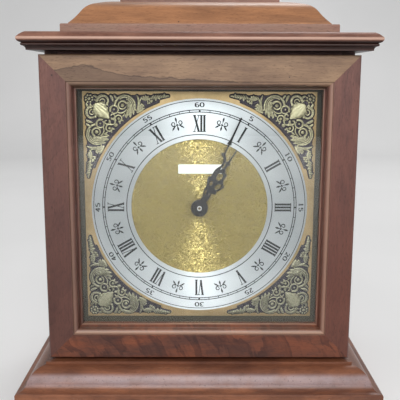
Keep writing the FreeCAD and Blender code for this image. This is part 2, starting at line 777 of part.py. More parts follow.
# ---- carrying handle ----

def handle_y():
    return (DOOR_FRONT + SLAB_IN + CASE_REAR) / 2


def handle_post(x):
    """A turned post with a flange, a neck and a drilled ball, and its screw down into the slab."""
    foot = V(x, handle_y(), SLAB_TOP)
    steps = [(POST_FLANGE_R, 0.0),
             (POST_FLANGE_R, POST_FLANGE_RIM),
             (POST_NECK_R, POST_FLANGE_H + POST_COVE_H, POST_COVE_BULGE),
             (POST_NECK_R, POST_PIVOT_H - POST_BALL_SINK),
             (0.0, POST_PIVOT_H - POST_BALL_SINK)]
    face = profile_face((0.0, 0.0), steps, lambda p: foot + V(p[0], 0, p[1]))
    turned = face.revolve(foot, V(0, 0, 1), 360)
    ball = Part.makeSphere(POST_BALL_R, foot + V(0, 0, POST_PIVOT_H))
    screw = rod(POST_SCREW_R, foot - V(0, 0, min(POST_SCREW_L, SLAB_T)), foot)
    pivot = foot + V(0, 0, POST_PIVOT_H)
    bore = rod(BAIL_PIN_R + RUN, pivot - V(2 * POST_BALL_R, 0, 0), pivot + V(2 * POST_BALL_R, 0, 0))
    return turned.fuse(ball).fuse(screw).cut(bore)


def handle_posts():
    return [handle_post(-POST_SPACING / 2), handle_post(POST_SPACING / 2)]


def bail_tilt():
    """How far below level the bail hangs when its grip rests on the slab."""
    drop = POST_PIVOT_H - BAIL_GRIP_R - FREE
    return math.degrees(math.asin(drop / BAIL_REACH))


def bail_half(side):
    """Pin, arm and corner of one side of the bail, drawn level and pointing back."""
    y = handle_y()
    z = SLAB_TOP + POST_PIVOT_H
    arm_x = side * (POST_SPACING / 2 + BAIL_OUTSET)
    pivot = V(arm_x, y, z)
    pin = rod(BAIL_PIN_R, V(side * (POST_SPACING / 2 - POST_BALL_R), y, z), pivot)
    joint = Part.makeSphere(BAIL_EYE_R, pivot)
    arm_end = V(arm_x, y + BAIL_REACH - BAIL_CORNER_R, z)
    arm = rod(BAIL_R, pivot, arm_end)
    ring = Part.Wire(Part.makeCircle(BAIL_R, arm_end, V(0, 1, 0)))
    centre = arm_end - V(side * BAIL_CORNER_R, 0, 0)
    corner = Part.Face(ring).revolve(centre, V(0, 0, side), 90)
    return fuse_all([pin, joint, arm, corner])


def bail_grip():
    """The turned grip: a long swelling between two beads."""
    y = handle_y() + BAIL_REACH
    z = SLAB_TOP + POST_PIVOT_H
    half = POST_SPACING / 2 + BAIL_OUTSET - BAIL_CORNER_R
    bead_out = half - GRIP_COLLAR_L
    bead_in = bead_out - GRIP_BEAD_L
    steps = [(-half, BAIL_R),
             (-bead_out, BAIL_R),
             (-bead_in, BAIL_R, GRIP_BEAD_BULGE),
             (bead_in, BAIL_R, BAIL_GRIP_R - BAIL_R),
             (bead_out, BAIL_R, GRIP_BEAD_BULGE),
             (half, BAIL_R),
             (half, 0.0)]
    face = profile_face((-half, 0.0), steps, lambda p: V(p[0], y, z + p[1]))
    return face.revolve(V(0, y, z), V(1, 0, 0), 360)


def handle_bail():
    bail = fuse_all([bail_half(-1), bail_half(1), bail_grip()])
    bail.rotate(V(0, handle_y(), SLAB_TOP + POST_PIVOT_H), V(1, 0, 0), -bail_tilt())
    return bail


def save_handle():
    save("handle_posts", handle_posts())
    save("handle_bail", handle_bail())


# ---- dial ----

def dial_point(x, z, y):
    """A point given from the dial's centre."""
    return V(x, y, DIAL_Z + z)


def disc(radius, front, rear, x=0.0, z=0.0):
    return rod(radius, dial_point(x, z, front), dial_point(x, z, rear))


def spandrel_screws():
    reach = PLATE_W / 2 - SPANDREL_EDGE - SPANDREL_SCREW_IN
    screws = []
    for x in (-reach, reach):
        for z in (-reach, reach):
            shank = disc(SPANDREL_SCREW_R, PLATE_FRONT, BOARD_REAR, x, z)
            head = disc(2 * SPANDREL_SCREW_R, BOARD_REAR, BOARD_REAR + SPANDREL_SCREW_R, x, z)
            screws.append(shank.fuse(head))
    return screws


def save_dial():
    hole = BUSH_R + BUSH_FIT
    board = block(-INNER_HALF, INNER_HALF, BOARD_FRONT, BOARD_REAR, BASE_TOP, CASE_TOP - TOP_BOARD_T)
    board = board.cut(disc(hole, BOARD_FRONT, BOARD_REAR))
    half = PLATE_W / 2
    plate = block(-half, half, PLATE_FRONT, BOARD_FRONT, DIAL_Z - half, DIAL_Z + half)
    plate = plate.cut(disc(hole, PLATE_FRONT, BOARD_FRONT))
    for screw in spandrel_screws():
        board = board.cut(screw)
        plate = plate.cut(screw)
    save("dial_board", board)
    save("dial_plate", plate)
    save("spandrel_screws", spandrel_screws())
    ring = disc(RING_R, RING_FRONT, PLATE_FRONT).cut(disc(RING_R * RING_INNER_SHARE, RING_FRONT, PLATE_FRONT))
    save("chapter_ring", ring)
    low, high = BASE_TOP + CLEAT_INSET, CASE_TOP - TOP_BOARD_T - CLEAT_INSET
    cleat = block(INNER_HALF - CLEAT_W, INNER_HALF, BOARD_REAR, BOARD_REAR + CLEAT_T, low, high)
    save("dial_cleats", mirrored_pair(cleat))


# A spandrel is drawn in the dial's upper right corner. Its own coordinates run in from the
# corner: first number along the top edge, second down the side.

def corner_point(along, down, ahead):
    reach = PLATE_W / 2 - SPANDREL_EDGE
    return dial_point(reach - along, reach - down, PLATE_FRONT - ahead)


def spandrel_plate():
    """Two wings that taper along the plate's edges, with an inner edge that follows the ring."""
    reach = PLATE_W / 2 - SPANDREL_EDGE
    inner_r = RING_R + SPANDREL_GAP
    flank = SPANDREL_LEG - SPANDREL_TIP_IN
    depth = reach - math.sqrt(inner_r ** 2 - (reach - flank) ** 2)
    inner_mid = reach - inner_r * math.cos(math.pi / 4)

    def arc(start, middle, end):
        return Part.Arc(*[corner_point(p[0], p[1], 0.0) for p in (start, middle, end)]).toShape()

    def line(start, end):
        return Part.makeLine(corner_point(start[0], start[1], 0.0), corner_point(end[0], end[1], 0.0))

    edges = [line((0, 0), (flank, 0)),
             arc((flank, 0), (SPANDREL_LEG, depth / 2), (flank, depth)),
             arc((flank, depth), (inner_mid, inner_mid), (depth, flank)),
             arc((depth, flank), (depth / 2, SPANDREL_LEG), (0, flank)),
             line((0, flank), (0, 0))]
    return Part.Face(Part.Wire(edges)).extrude(V(0, -SPANDREL_BASE_T, 0))


def boss(along, down, radius):
    """A low dome on the spandrel."""
    height = SPANDREL_RELIEF
    foot = corner_point(along, down, SPANDREL_BASE_T)
    sphere_r = (radius ** 2 + height ** 2) / (2 * height)
    ball = Part.makeSphere(sphere_r, foot + V(0, sphere_r - height, 0))
    return ball.common(rod(radius + ORNAMENT_SINK, foot + V(0, ORNAMENT_SINK, 0), foot - V(0, 2 * height, 0)))


def scroll(along, down, radius, turn_from, turn_to, width):
    """A raised C scroll: part of a flat ring with a sloped top, ended by a small ball."""
    centre = corner_point(along, down, 0)
    low = -SPANDREL_BASE_T + ORNAMENT_SINK
    high = -SPANDREL_BASE_T - SCROLL_RELIEF
    corners = [(radius - width / 2, low), (radius + width / 2, low),
               (radius + width / 4, high), (radius - width / 4, high)]
    face = Part.Face(Part.makePolygon([centre + V(r, y, 0) for r, y in corners + corners[:1]]))
    bar = face.revolve(centre, V(0, -1, 0), turn_to - turn_from)
    bar.rotate(centre, V(0, -1, 0), turn_from)
    end = math.radians(turn_to)
    bead = boss(along - radius * math.cos(end), down - radius * math.sin(end), SCROLL_BEAD_SHARE * width)
    return [bar, bead]


def spandrel():
    """The casting: a rosette in the corner, a cartouche on the diagonal, and scrolls on both wings."""
    def sized(shares):
        return [share * SPANDREL_LEG for share in shares]

    solids = [spandrel_plate(), boss(*sized(ROSETTE)), boss(*sized(CARTOUCHE))]
    half = [boss(*sized(bud)) for bud in BUDS]
    for item in SCROLLS:
        half += scroll(*sized(item[:3]), *item[3:])
    centre = corner_point(0, 0, 0)
    for solid in half:
        solids.append(solid)
        solids.append(solid.mirror(centre, V(1, 0, -1)))
    return fuse_all(solids)


def save_spandrels():
    first = spandrel()
    centre = dial_point(0, 0, 0)
    for index, name in enumerate(("top_right", "bottom_right", "bottom_left", "top_left")):
        turned = first.copy()
        turned.rotate(centre, V(0, 1, 0), 90 * index)
        save("spandrel_" + name, turned)


# ---- gears ----

def gear(teeth, front, thickness, phase):
    """A spur wheel about the dial's centre line; phase turns it, in teeth, clockwise from the top."""
    pitch_r = MODULE * teeth / 2
    tip_r = pitch_r + ADDENDUM * MODULE
    root_r = pitch_r - DEDENDUM * MODULE
    pitch = 360.0 / teeth
    flank = ((TOOTH_AT_ROOT, root_r), (TOOTH_AT_PITCH, pitch_r), (TOOTH_AT_TIP, tip_r))
    shape = [(-share, radius) for share, radius in flank] + list(reversed(flank))
    points = []
    for tooth in range(teeth):
        for share, radius in shape:
            angle = math.radians((tooth + phase + share) * pitch)
            points.append(dial_point(radius * math.sin(angle), radius * math.cos(angle), front))
    return Part.Face(Part.makePolygon(points + points[:1])).extrude(V(0, thickness, 0))


def meshing_phase(driver_teeth, driver_phase, driven_teeth, direction):
    """The phase at which a tooth of one wheel meets a gap of the other along a line of centres."""
    at_driver = (direction / 360.0 * driver_teeth - driver_phase) % 1.0
    at_driven = (direction + 180.0) / 360.0 * driven_teeth
    return (at_driven - (0.5 - at_driver)) % 1.0


def clock_direction(degrees_from_x):
    """Turns a direction counted up from +X into one counted clockwise from the top."""
    return 90.0 - degrees_from_x


def polar(radius, degrees):
    angle = math.radians(degrees)
    return radius * math.cos(angle), radius * math.sin(angle)


def minute_wheel_place():
    return polar(MAIN_CENTRES, MINUTE_WHEEL_DIR)


def knob_place():
    x, z = minute_wheel_place()
    dx, dz = polar(KNOB_CENTRES, KNOB_DIR)
    return x + dx, z + dz


def moved(shape, place):
    shape.translate(V(place[0], 0, place[1]))
    return shape


WHEEL_CLOCK = clock_direction(MINUTE_WHEEL_DIR)
MINUTE_WHEEL_PHASE = meshing_phase(MINUTE_PINION_TEETH, 0.0, MINUTE_WHEEL_TEETH, WHEEL_CLOCK)
HOUR_WHEEL_PHASE = meshing_phase(HOUR_PINION_TEETH, 0.0, HOUR_WHEEL_TEETH, WHEEL_CLOCK + 180.0)
KNOB_CLOCK = clock_direction(KNOB_DIR)
KNOB_PHASE = meshing_phase(MINUTE_WHEEL_TEETH, MINUTE_WHEEL_PHASE, KNOB_PINION_TEETH, KNOB_CLOCK)


def minute_arbor():
    """The centre arbor: pinion inside, shoulder under the minute hand, and its front end."""
    bore = HOUR_TUBE_R - HOUR_TUBE_WALL
    shaft_r = bore - RUN
    shoulder = RING_FRONT - MINUTE_HAND_AHEAD
    shaft = disc(shaft_r, shoulder, COVER_BOSS_FRONT - FREE)
    pivot = disc(WHEEL_PIN_R, COVER_BOSS_FRONT - FREE, COVER_BOSS_FRONT + PIVOT_IN)
    end = disc(ARBOR_END_R, HAND_NUT_REAR - HAND_NUT_T + ARBOR_SHORT, shoulder)
    pinion = gear(MINUTE_PINION_TEETH, TRAIN_Y, PINION_T, 0.0)
    return fuse_all([shaft, pivot, end, pinion])


def minute_wheel():
    """Wheel and pinion on one pin, turning in the front plate and in the cover."""
    wheel = gear(MINUTE_WHEEL_TEETH, TRAIN_Y + (PINION_T - WHEEL_T) / 2, WHEEL_T, MINUTE_WHEEL_PHASE)
    pinion = gear(HOUR_PINION_TEETH, HOUR_PINION_Y, TRAIN_Y + PINION_T / 2 - HOUR_PINION_Y, 0.0)
    pin = disc(WHEEL_PIN_R, CHAMBER_FRONT - FRONT_PIVOT_IN, COVER_BOSS_FRONT + PIVOT_IN)
    return moved(fuse_all([wheel, pinion, pin]), minute_wheel_place())


def hour_wheel():
    """The hour wheel with the tube that carries the hour hand through the bush."""
    inner = HOUR_TUBE_R - HOUR_TUBE_WALL
    front = RING_FRONT - HOUR_HAND_AHEAD - HAND_T - TUBE_PROUD
    wheel = gear(HOUR_WHEEL_TEETH, HOUR_WHEEL_Y, WHEEL_T, HOUR_WHEEL_PHASE)
    sleeve = disc(HOUR_TUBE_R, front, HOUR_WHEEL_Y + WHEEL_T)
    return wheel.fuse(sleeve).cut(disc(inner, front, HOUR_WHEEL_Y + WHEEL_T)).removeSplitter()


def set_knob():
    """The setting knob behind the cover, its shaft and the pinion that turns the minute wheel."""
    pinion = gear(KNOB_PINION_TEETH, TRAIN_Y, PINION_T, KNOB_PHASE)
    pivot = disc(WHEEL_PIN_R, CHAMBER_FRONT - FRONT_PIVOT_IN, TRAIN_Y)
    shaft = disc(KNOB_SHAFT_R, TRAIN_Y, COVER_REAR + FREE)
    front = COVER_REAR + FREE
    head = disc(KNOB_R, front, front + KNOB_H)
    for flute in range(KNOB_FLUTES):
        x, z = polar(KNOB_R, 360.0 * flute / KNOB_FLUTES)
        head = head.cut(disc(KNOB_FLUTE_R, front, front + KNOB_H, x, z))
    return moved(fuse_all([pinion, pivot, shaft, head]), knob_place())


# ---- movement ----

def battery_z():
    return -MOVEMENT_W / 2 + MOVEMENT_WALL + BAY_PLAY + BATTERY_R


def battery_y():
    return CHAMBER_FRONT + FREE + BATTERY_R


def bay_top():
    return battery_z() + BATTERY_R + BAY_PLAY


def movement_housing():
    """The plastic tray: front plate with its threaded bush, four walls and the battery bay."""
    half = MOVEMENT_W / 2
    inner = half - MOVEMENT_WALL
    tray = block(-half, half, MOVEMENT_FRONT, MOVEMENT_REAR, DIAL_Z - half, DIAL_Z + half)
    chamber_low = DIAL_Z + bay_top() + BAY_TOP_WALL
    chamber = block(-inner, inner, CHAMBER_FRONT, MOVEMENT_REAR, chamber_low, DIAL_Z + inner)
    bay = block(-inner, inner, CHAMBER_FRONT, MOVEMENT_REAR, DIAL_Z - inner, DIAL_Z + bay_top())
    tray = tray.cut(chamber).cut(bay)
    tray = tray.fuse(disc(BUSH_R, RING_FRONT - BUSH_OUT, MOVEMENT_FRONT + OVERLAP))
    tray = tray.cut(disc(HOUR_TUBE_R + RUN, RING_FRONT - BUSH_OUT, CHAMBER_FRONT))
    for place in (minute_wheel_place(), knob_place()):
        socket = moved(disc(WHEEL_PIN_R + RUN, CHAMBER_FRONT - FRONT_PIVOT_HOLE, CHAMBER_FRONT), place)
        tray = tray.cut(socket)
    for x, z in board_posts():
        tray = tray.fuse(disc(BOARD_POST_R, CHAMBER_FRONT - OVERLAP, board_front(), x, z))
    return tray.removeSplitter()


def movement_cover():
    """The plate that closes the wheel chamber, with the bosses that carry the pins."""
    half = MOVEMENT_W / 2
    plate = block(-half, half, MOVEMENT_REAR, COVER_REAR, DIAL_Z + bay_top(), DIAL_Z + half)
    for place in ((0.0, 0.0), minute_wheel_place()):
        plate = plate.fuse(moved(disc(COVER_BOSS_R, COVER_BOSS_FRONT, MOVEMENT_REAR + OVERLAP), place))
        hole = disc(WHEEL_PIN_R + RUN, COVER_BOSS_FRONT, COVER_BOSS_FRONT + PIVOT_HOLE)
        plate = plate.cut(moved(hole, place))
    return plate.cut(moved(disc(KNOB_SHAFT_R + RUN, MOVEMENT_REAR, COVER_REAR), knob_place()))


def board_front():
    return COVER_BOSS_FRONT - BOARD_T


def board_centre():
    inner = MOVEMENT_W / 2 - MOVEMENT_WALL
    return inner - BOARD_W / 2 - BOARD_INSET, inner - BOARD_H / 2 - BOARD_INSET


def board_posts():
    x, z = board_centre()
    up = BOARD_H / 2 - BOARD_POST_IN
    return [(x + BOARD_W / 2 - BOARD_POST_IN, z + up), (x + BOARD_W / 2 - BOARD_POST_IN, z - up)]


def circuit_board():
    """The circuit board on its two posts, with the coil of the step motor on its front."""
    x, z = board_centre()
    front = board_front()
    board = block(x - BOARD_W / 2, x + BOARD_W / 2, front, front + BOARD_T,
                  DIAL_Z + z - BOARD_H / 2, DIAL_Z + z + BOARD_H / 2)
    y = front - COIL_R
    coil_x = x - COIL_OFFSET
    winding = rod(COIL_WIRE_R, dial_point(coil_x, z - COIL_L / 2, y), dial_point(coil_x, z + COIL_L / 2, y))
    thick = COIL_FLANGE_T / 2
    flanges = [block(coil_x - COIL_R, coil_x + COIL_R, y - COIL_R, front,
                     DIAL_Z + z + end - thick, DIAL_Z + z + end + thick) for end in (-COIL_L / 2, COIL_L / 2)]
    return [board, fuse_all([winding] + flanges)]


def battery():
    """A standard AA cell lying across the bay, its nub to the right."""
    y, z = battery_y(), battery_z()
    left = -BATTERY_L / 2
    can_end = left + BATTERY_L - BATTERY_NUB_L
    can = rod(BATTERY_R, dial_point(left, z, y), dial_point(can_end, z, y))
    can = can.makeFillet(BATTERY_ROUND, [edge for edge in can.Edges if len(edge.Vertexes) == 1])
    nub = rod(BATTERY_NUB_R, dial_point(can_end - OVERLAP, z, y), dial_point(left + BATTERY_L, z, y))
    return can.fuse(nub)


def battery_contacts():
    """A sprung plate at each end of the bay, with the dimple that touches the cell."""
    inner = MOVEMENT_W / 2 - MOVEMENT_WALL
    y, z = battery_y(), battery_z()
    reach = inner - BATTERY_L / 2 - FREE
    half = CONTACT_W / 2
    contacts = []
    for side in (-1, 1):
        wall = side * inner
        x0, x1 = sorted((wall, wall - side * CONTACT_T))
        plate = block(x0, x1, y - half, y + half, DIAL_Z + z - half, DIAL_Z + z + half)
        dimple = rod(DIMPLE_R, dial_point(wall, z, y), dial_point(wall - side * reach, z, y))
        contacts.append(plate.fuse(dimple))
    return contacts


def mounting_nut():
    radius = NUT_FLATS / math.sqrt(3)
    front = PLATE_FRONT - NUT_T
    corners = [polar(radius, 60.0 * corner) for corner in range(6)]
    nut = prism(corners, lambda p: dial_point(p[0], p[1], front), V(0, NUT_T, 0))
    return nut.cut(disc(BUSH_R + RUN, front, PLATE_FRONT))


def rubber_washer():
    return disc(WASHER_R, BOARD_REAR, MOVEMENT_FRONT).cut(disc(BUSH_R + RUN, BOARD_REAR, MOVEMENT_FRONT))


def save_movement():
    save("movement_housing", movement_housing())
    save("movement_cover", movement_cover())
    save("circuit_board", circuit_board())
    save("battery_contacts", battery_contacts())
    save("battery", battery())
    save("mounting_nut", mounting_nut())
    save("rubber_washer", rubber_washer())
    save("minute_arbor", minute_arbor())
    save("minute_wheel", minute_wheel())
    save("hour_wheel", hour_wheel())
    save("set_knob", set_knob())


# ---- hands ----
# A hand is drawn pointing to twelve: first number to the right, second up from the centre.
# An outline is a list of smooth stretches that meet in the points of the spurs.

HOUR_OUTLINE = [
    [(2.0, 6.0), (2.3, 10.5), (1.6, 14.6)],
    [(1.6, 14.6), (3.2, 15.3), (5.0, 15.5)],
    [(5.0, 15.5), (4.8, 17.2), (3.9, 18.5)],
    [(3.9, 18.5), (6.0, 20.2), (7.0, 22.4), (7.7, 24.7)],
    [(7.7, 24.7), (5.7, 25.8), (4.4, 27.8), (4.0, 30.2), (4.7, 33.7)],
    [(4.7, 33.7), (2.5, 34.3), (1.0, 36.2), (0.6, 38.4), (0.9, 40.2), (2.4, 41.6)],
    [(2.4, 41.6), (1.1, 42.4), (0.6, 44.2)],
    [(0.6, 44.2), (0.55, 54.2)],
    [(0.55, 54.2), (-0.55, 54.2)],
    [(-0.55, 54.2), (-0.65, 44.6)],
    [(-0.65, 44.6), (-1.2, 43.0), (-2.5, 42.0)],
    [(-2.5, 42.0), (-1.6, 40.8), (-1.2, 39.2), (-1.2, 37.2), (-2.0, 35.4), (-3.5, 33.2), (-3.9, 30.4),
     (-3.5, 27.4), (-4.1, 24.8)],
    [(-4.1, 24.8), (-2.5, 24.0), (-1.6, 22.0), (-1.9, 19.0), (-3.1, 16.4)],
    [(-3.1, 16.4), (-2.2, 13.4), (-1.9, 10.4), (-2.9, 8.4)],
    [(-2.9, 8.4), (-2.2, 6.0)],
]
HOUR_HOLES = [((-0.1, 29.4), 2.4, 3.15, 0.0), ((3.2, 21.8), 1.8, 3.0, 20.0), ((0.2, 13.0), 0.7, 1.5, 0.0)]

MINUTE_OUTLINE = [
    [(1.9, 6.0), (2.1, 9.5), (2.0, 13.5), (1.8, 16.5)],
    [(1.8, 16.5), (2.7, 19.6), (3.1, 22.8), (2.6, 25.4), (1.9, 27.6), (1.6, 31.0), (1.8, 34.0), (2.4, 37.0),
     (3.1, 39.4), (3.3, 41.6), (2.8, 43.8), (1.7, 45.6), (0.8, 47.2), (0.5, 49.2)],
    [(0.5, 49.2), (0.5, 55.4)],
    [(0.5, 55.4), (1.2, 55.4), (1.85, 55.8)],
    [(1.85, 55.8), (1.15, 57.8), (0.85, 60.2), (0.66, 63.0)],
    [(0.66, 63.0), (0.6, 78.2)],
    [(0.6, 78.2), (-0.6, 78.2)],
    [(-0.6, 78.2), (-0.66, 63.0)],
    [(-0.66, 63.0), (-0.85, 60.2), (-1.15, 57.8), (-1.85, 55.8)],
    [(-1.85, 55.8), (-1.2, 55.4), (-0.6, 55.4)],
    [(-0.6, 55.4), (-0.6, 49.2)],
    [(-0.6, 49.2), (-1.0, 48.0), (-1.9, 47.5), (-2.6, 46.4), (-1.7, 45.4), (-0.3, 44.6), (0.9, 43.2),
     (1.5, 41.0), (1.2, 38.6), (0.2, 36.4), (-1.3, 34.0), (-2.0, 31.0), (-2.5, 28.0), (-4.3, 25.6)],
    [(-4.3, 25.6), (-3.9, 22.8), (-3.0, 20.6), (-2.2, 18.6)],
    [(-2.2, 18.6), (-2.6, 17.6), (-3.5, 16.4)],
    [(-3.5, 16.4), (-2.7, 14.8), (-2.6, 13.0), (-1.7, 10.6), (-1.2, 9.6)],
    [(-1.2, 9.6), (-1.8, 9.2), (-2.4, 8.4)],
    [(-2.4, 8.4), (-1.9, 6.0)],
]
MINUTE_HOLES = [((-0.7, 13.6), 0.9, 2.1, -12.0), ((0.1, 21.8), 1.15, 1.95, 0.0)]


def drawn_reach(outline):
    return max(point[1] for stretch in outline for point in stretch)


def hand_blade(outline, holes, length, rear):
    """A flat pierced blade; the drawing is stretched along its length to the hand's own length."""
    stretch_by = length / drawn_reach(outline)

    def place(point):
        return dial_point(point[0], point[1] * stretch_by, rear - HAND_T)

    edges = []
    for stretch in outline + [[outline[-1][-1], outline[0][0]]]:
        if len(stretch) == 2:
            edges.append(Part.makeLine(place(stretch[0]), place(stretch[1])))
        else:
            curve = Part.BSplineCurve()
            curve.interpolate([place(point) for point in stretch])
            edges.append(curve.toShape())
    blade = Part.Face(Part.Wire(edges)).extrude(V(0, HAND_T, 0))
    for centre, half_width, half_length, lean in holes:
        ellipse = Part.Ellipse(V(0, 0, 0), half_length, half_width).toShape()
        hole = Part.Face(Part.Wire(ellipse)).extrude(V(0, 0, 3 * HAND_T))
        hole.rotate(V(0, 0, 0), V(1, 0, 0), 90)
        hole.rotate(V(0, 0, 0), V(0, 1, 0), -90 + lean)
        hole.translate(place(centre) + V(0, 2 * HAND_T, 0))
        blade = blade.cut(hole)
    return blade


def turned_to(solid, clockwise):
    solid.rotate(dial_point(0, 0, 0), V(0, 1, 0), clockwise)
    return solid


def hour_hand():
    """Serpentine hour hand on its collet, pushed on to the hour tube."""
    rear = RING_FRONT - HOUR_HAND_AHEAD
    blade = hand_blade(HOUR_OUTLINE, HOUR_HOLES, HOUR_HAND_L, rear)
    hub = disc(HUB_DISC_R, rear - HAND_T, rear)
    collet = disc(HOUR_COLLET_R, rear - OVERLAP, rear + HOUR_COLLET_L)
    hand = fuse_all([blade, hub, collet]).cut(disc(HOUR_TUBE_R, rear - HAND_T, rear + HOUR_COLLET_L))
    return turned_to(hand, HOUR_ANGLE)


def minute_hand():
    """Serpentine minute hand with its round centre, on the shoulder of the arbor."""
    rear = RING_FRONT - MINUTE_HAND_AHEAD
    blade = hand_blade(MINUTE_OUTLINE, MINUTE_HOLES, MINUTE_HAND_L, rear)
    hub = disc(HUB_DISC_R, rear - HAND_T, rear)
    hand = fuse_all([blade, hub]).cut(disc(ARBOR_END_R, rear - HAND_T, rear))
    return turned_to(hand, MINUTE_ANGLE)


def hand_nut():
    """The small round nut with an open centre that holds the minute hand."""
    nut = disc(HAND_NUT_R, HAND_NUT_REAR - HAND_NUT_T, HAND_NUT_REAR)
    return nut.cut(disc(ARBOR_END_R, HAND_NUT_REAR - HAND_NUT_T, HAND_NUT_REAR))


def save_hands():
    save("hour_hand", hour_hand())
    save("minute_hand", minute_hand())
    save("hand_nut", hand_nut())


save("foot_glides", foot_glides())
save_base()
save_door()
save_hinges()
save_case()
save_back()
save_top()
save_handle()
save_dial()
save_spandrels()
save_movement()
save_hands()
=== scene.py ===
import bmesh
import bpy
import json
import math
import numpy as np
from mathutils import Matrix, Vector


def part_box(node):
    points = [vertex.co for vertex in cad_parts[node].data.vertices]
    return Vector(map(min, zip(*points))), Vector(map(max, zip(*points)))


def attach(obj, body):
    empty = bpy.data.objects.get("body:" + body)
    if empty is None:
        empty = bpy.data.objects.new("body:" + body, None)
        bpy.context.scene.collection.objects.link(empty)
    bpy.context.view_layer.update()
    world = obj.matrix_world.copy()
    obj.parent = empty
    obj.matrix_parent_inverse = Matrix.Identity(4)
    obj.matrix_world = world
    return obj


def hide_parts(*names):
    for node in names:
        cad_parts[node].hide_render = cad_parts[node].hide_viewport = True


# Bracket clock: finishes of the wooden case, the printed silvered ring, the matted dial centre,
# the cast corner ornaments, the bare plate below twelve, and the screws of the hinges.
# Metres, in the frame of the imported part. Sizes in millimetres are multiplied by MM.

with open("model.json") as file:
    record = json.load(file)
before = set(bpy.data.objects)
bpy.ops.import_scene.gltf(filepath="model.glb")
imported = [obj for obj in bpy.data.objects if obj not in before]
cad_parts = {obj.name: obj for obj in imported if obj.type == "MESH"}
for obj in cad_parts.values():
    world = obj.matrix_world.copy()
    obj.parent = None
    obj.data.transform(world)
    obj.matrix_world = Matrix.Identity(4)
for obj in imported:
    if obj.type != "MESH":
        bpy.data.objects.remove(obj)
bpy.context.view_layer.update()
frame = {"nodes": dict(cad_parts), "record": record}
nodes = frame["nodes"]

MM = 0.001

# ---- places taken from the frame ----
ring_low, ring_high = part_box("chapter_ring")
casting_low, casting_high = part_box("spandrel_top_right")
DIAL_X = (ring_low.x + ring_high.x) / 2
DIAL_Z = (ring_low.z + ring_high.z) / 2
RING_R = (ring_high.x - ring_low.x) / 2
RING_FACE = ring_low.y
PLATE_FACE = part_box("dial_plate")[0].y
SIGHT_HALF = -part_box("door_stile_left")[1].x
SIGHT_HALF_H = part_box("door_rail_top")[0].z - DIAL_Z
CORNICE_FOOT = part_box("cornice_front")[0].z

# ---- camera, solved from the ring's ellipses and the corners of the door ----
CAMERA_PLACE = (-1.85, -560.27, 258.39)
CAMERA_PITCH = 10.49       # degrees down
CAMERA_YAW = 0.25          # degrees towards +X
CAMERA_ROLL = 0.17
CAMERA_LENS = 59.84
CAMERA_SENSOR = 36.0

# ---- the printed ring, as shares of its radius ----
INNER_LINE = 0.675
NUMERAL_FOOT = 0.699
NUMERAL_HEAD = 0.852
TRACK_IN = 0.8785
TRACK_OUT = 0.898
FIGURE_FOOT = 0.9225
FIGURE_HEAD = 0.9645
OUTER_LINE = 0.98
LILY_MIDDLE = 0.79
INK_LIFT = 0.02 * MM
INK_DEPTH = 0.04 * MM


# ---- colours ----

def colour(red, green, blue):
    """An sRGB colour, 0 to 255, as the linear colour that a shader takes."""
    values = np.array([red, green, blue]) / 255.0
    linear = np.where(values <= 0.04045, values / 12.92, ((values + 0.055) / 1.055) ** 2.4)
    return (*linear.tolist(), 1.0)


# ---- materials ----

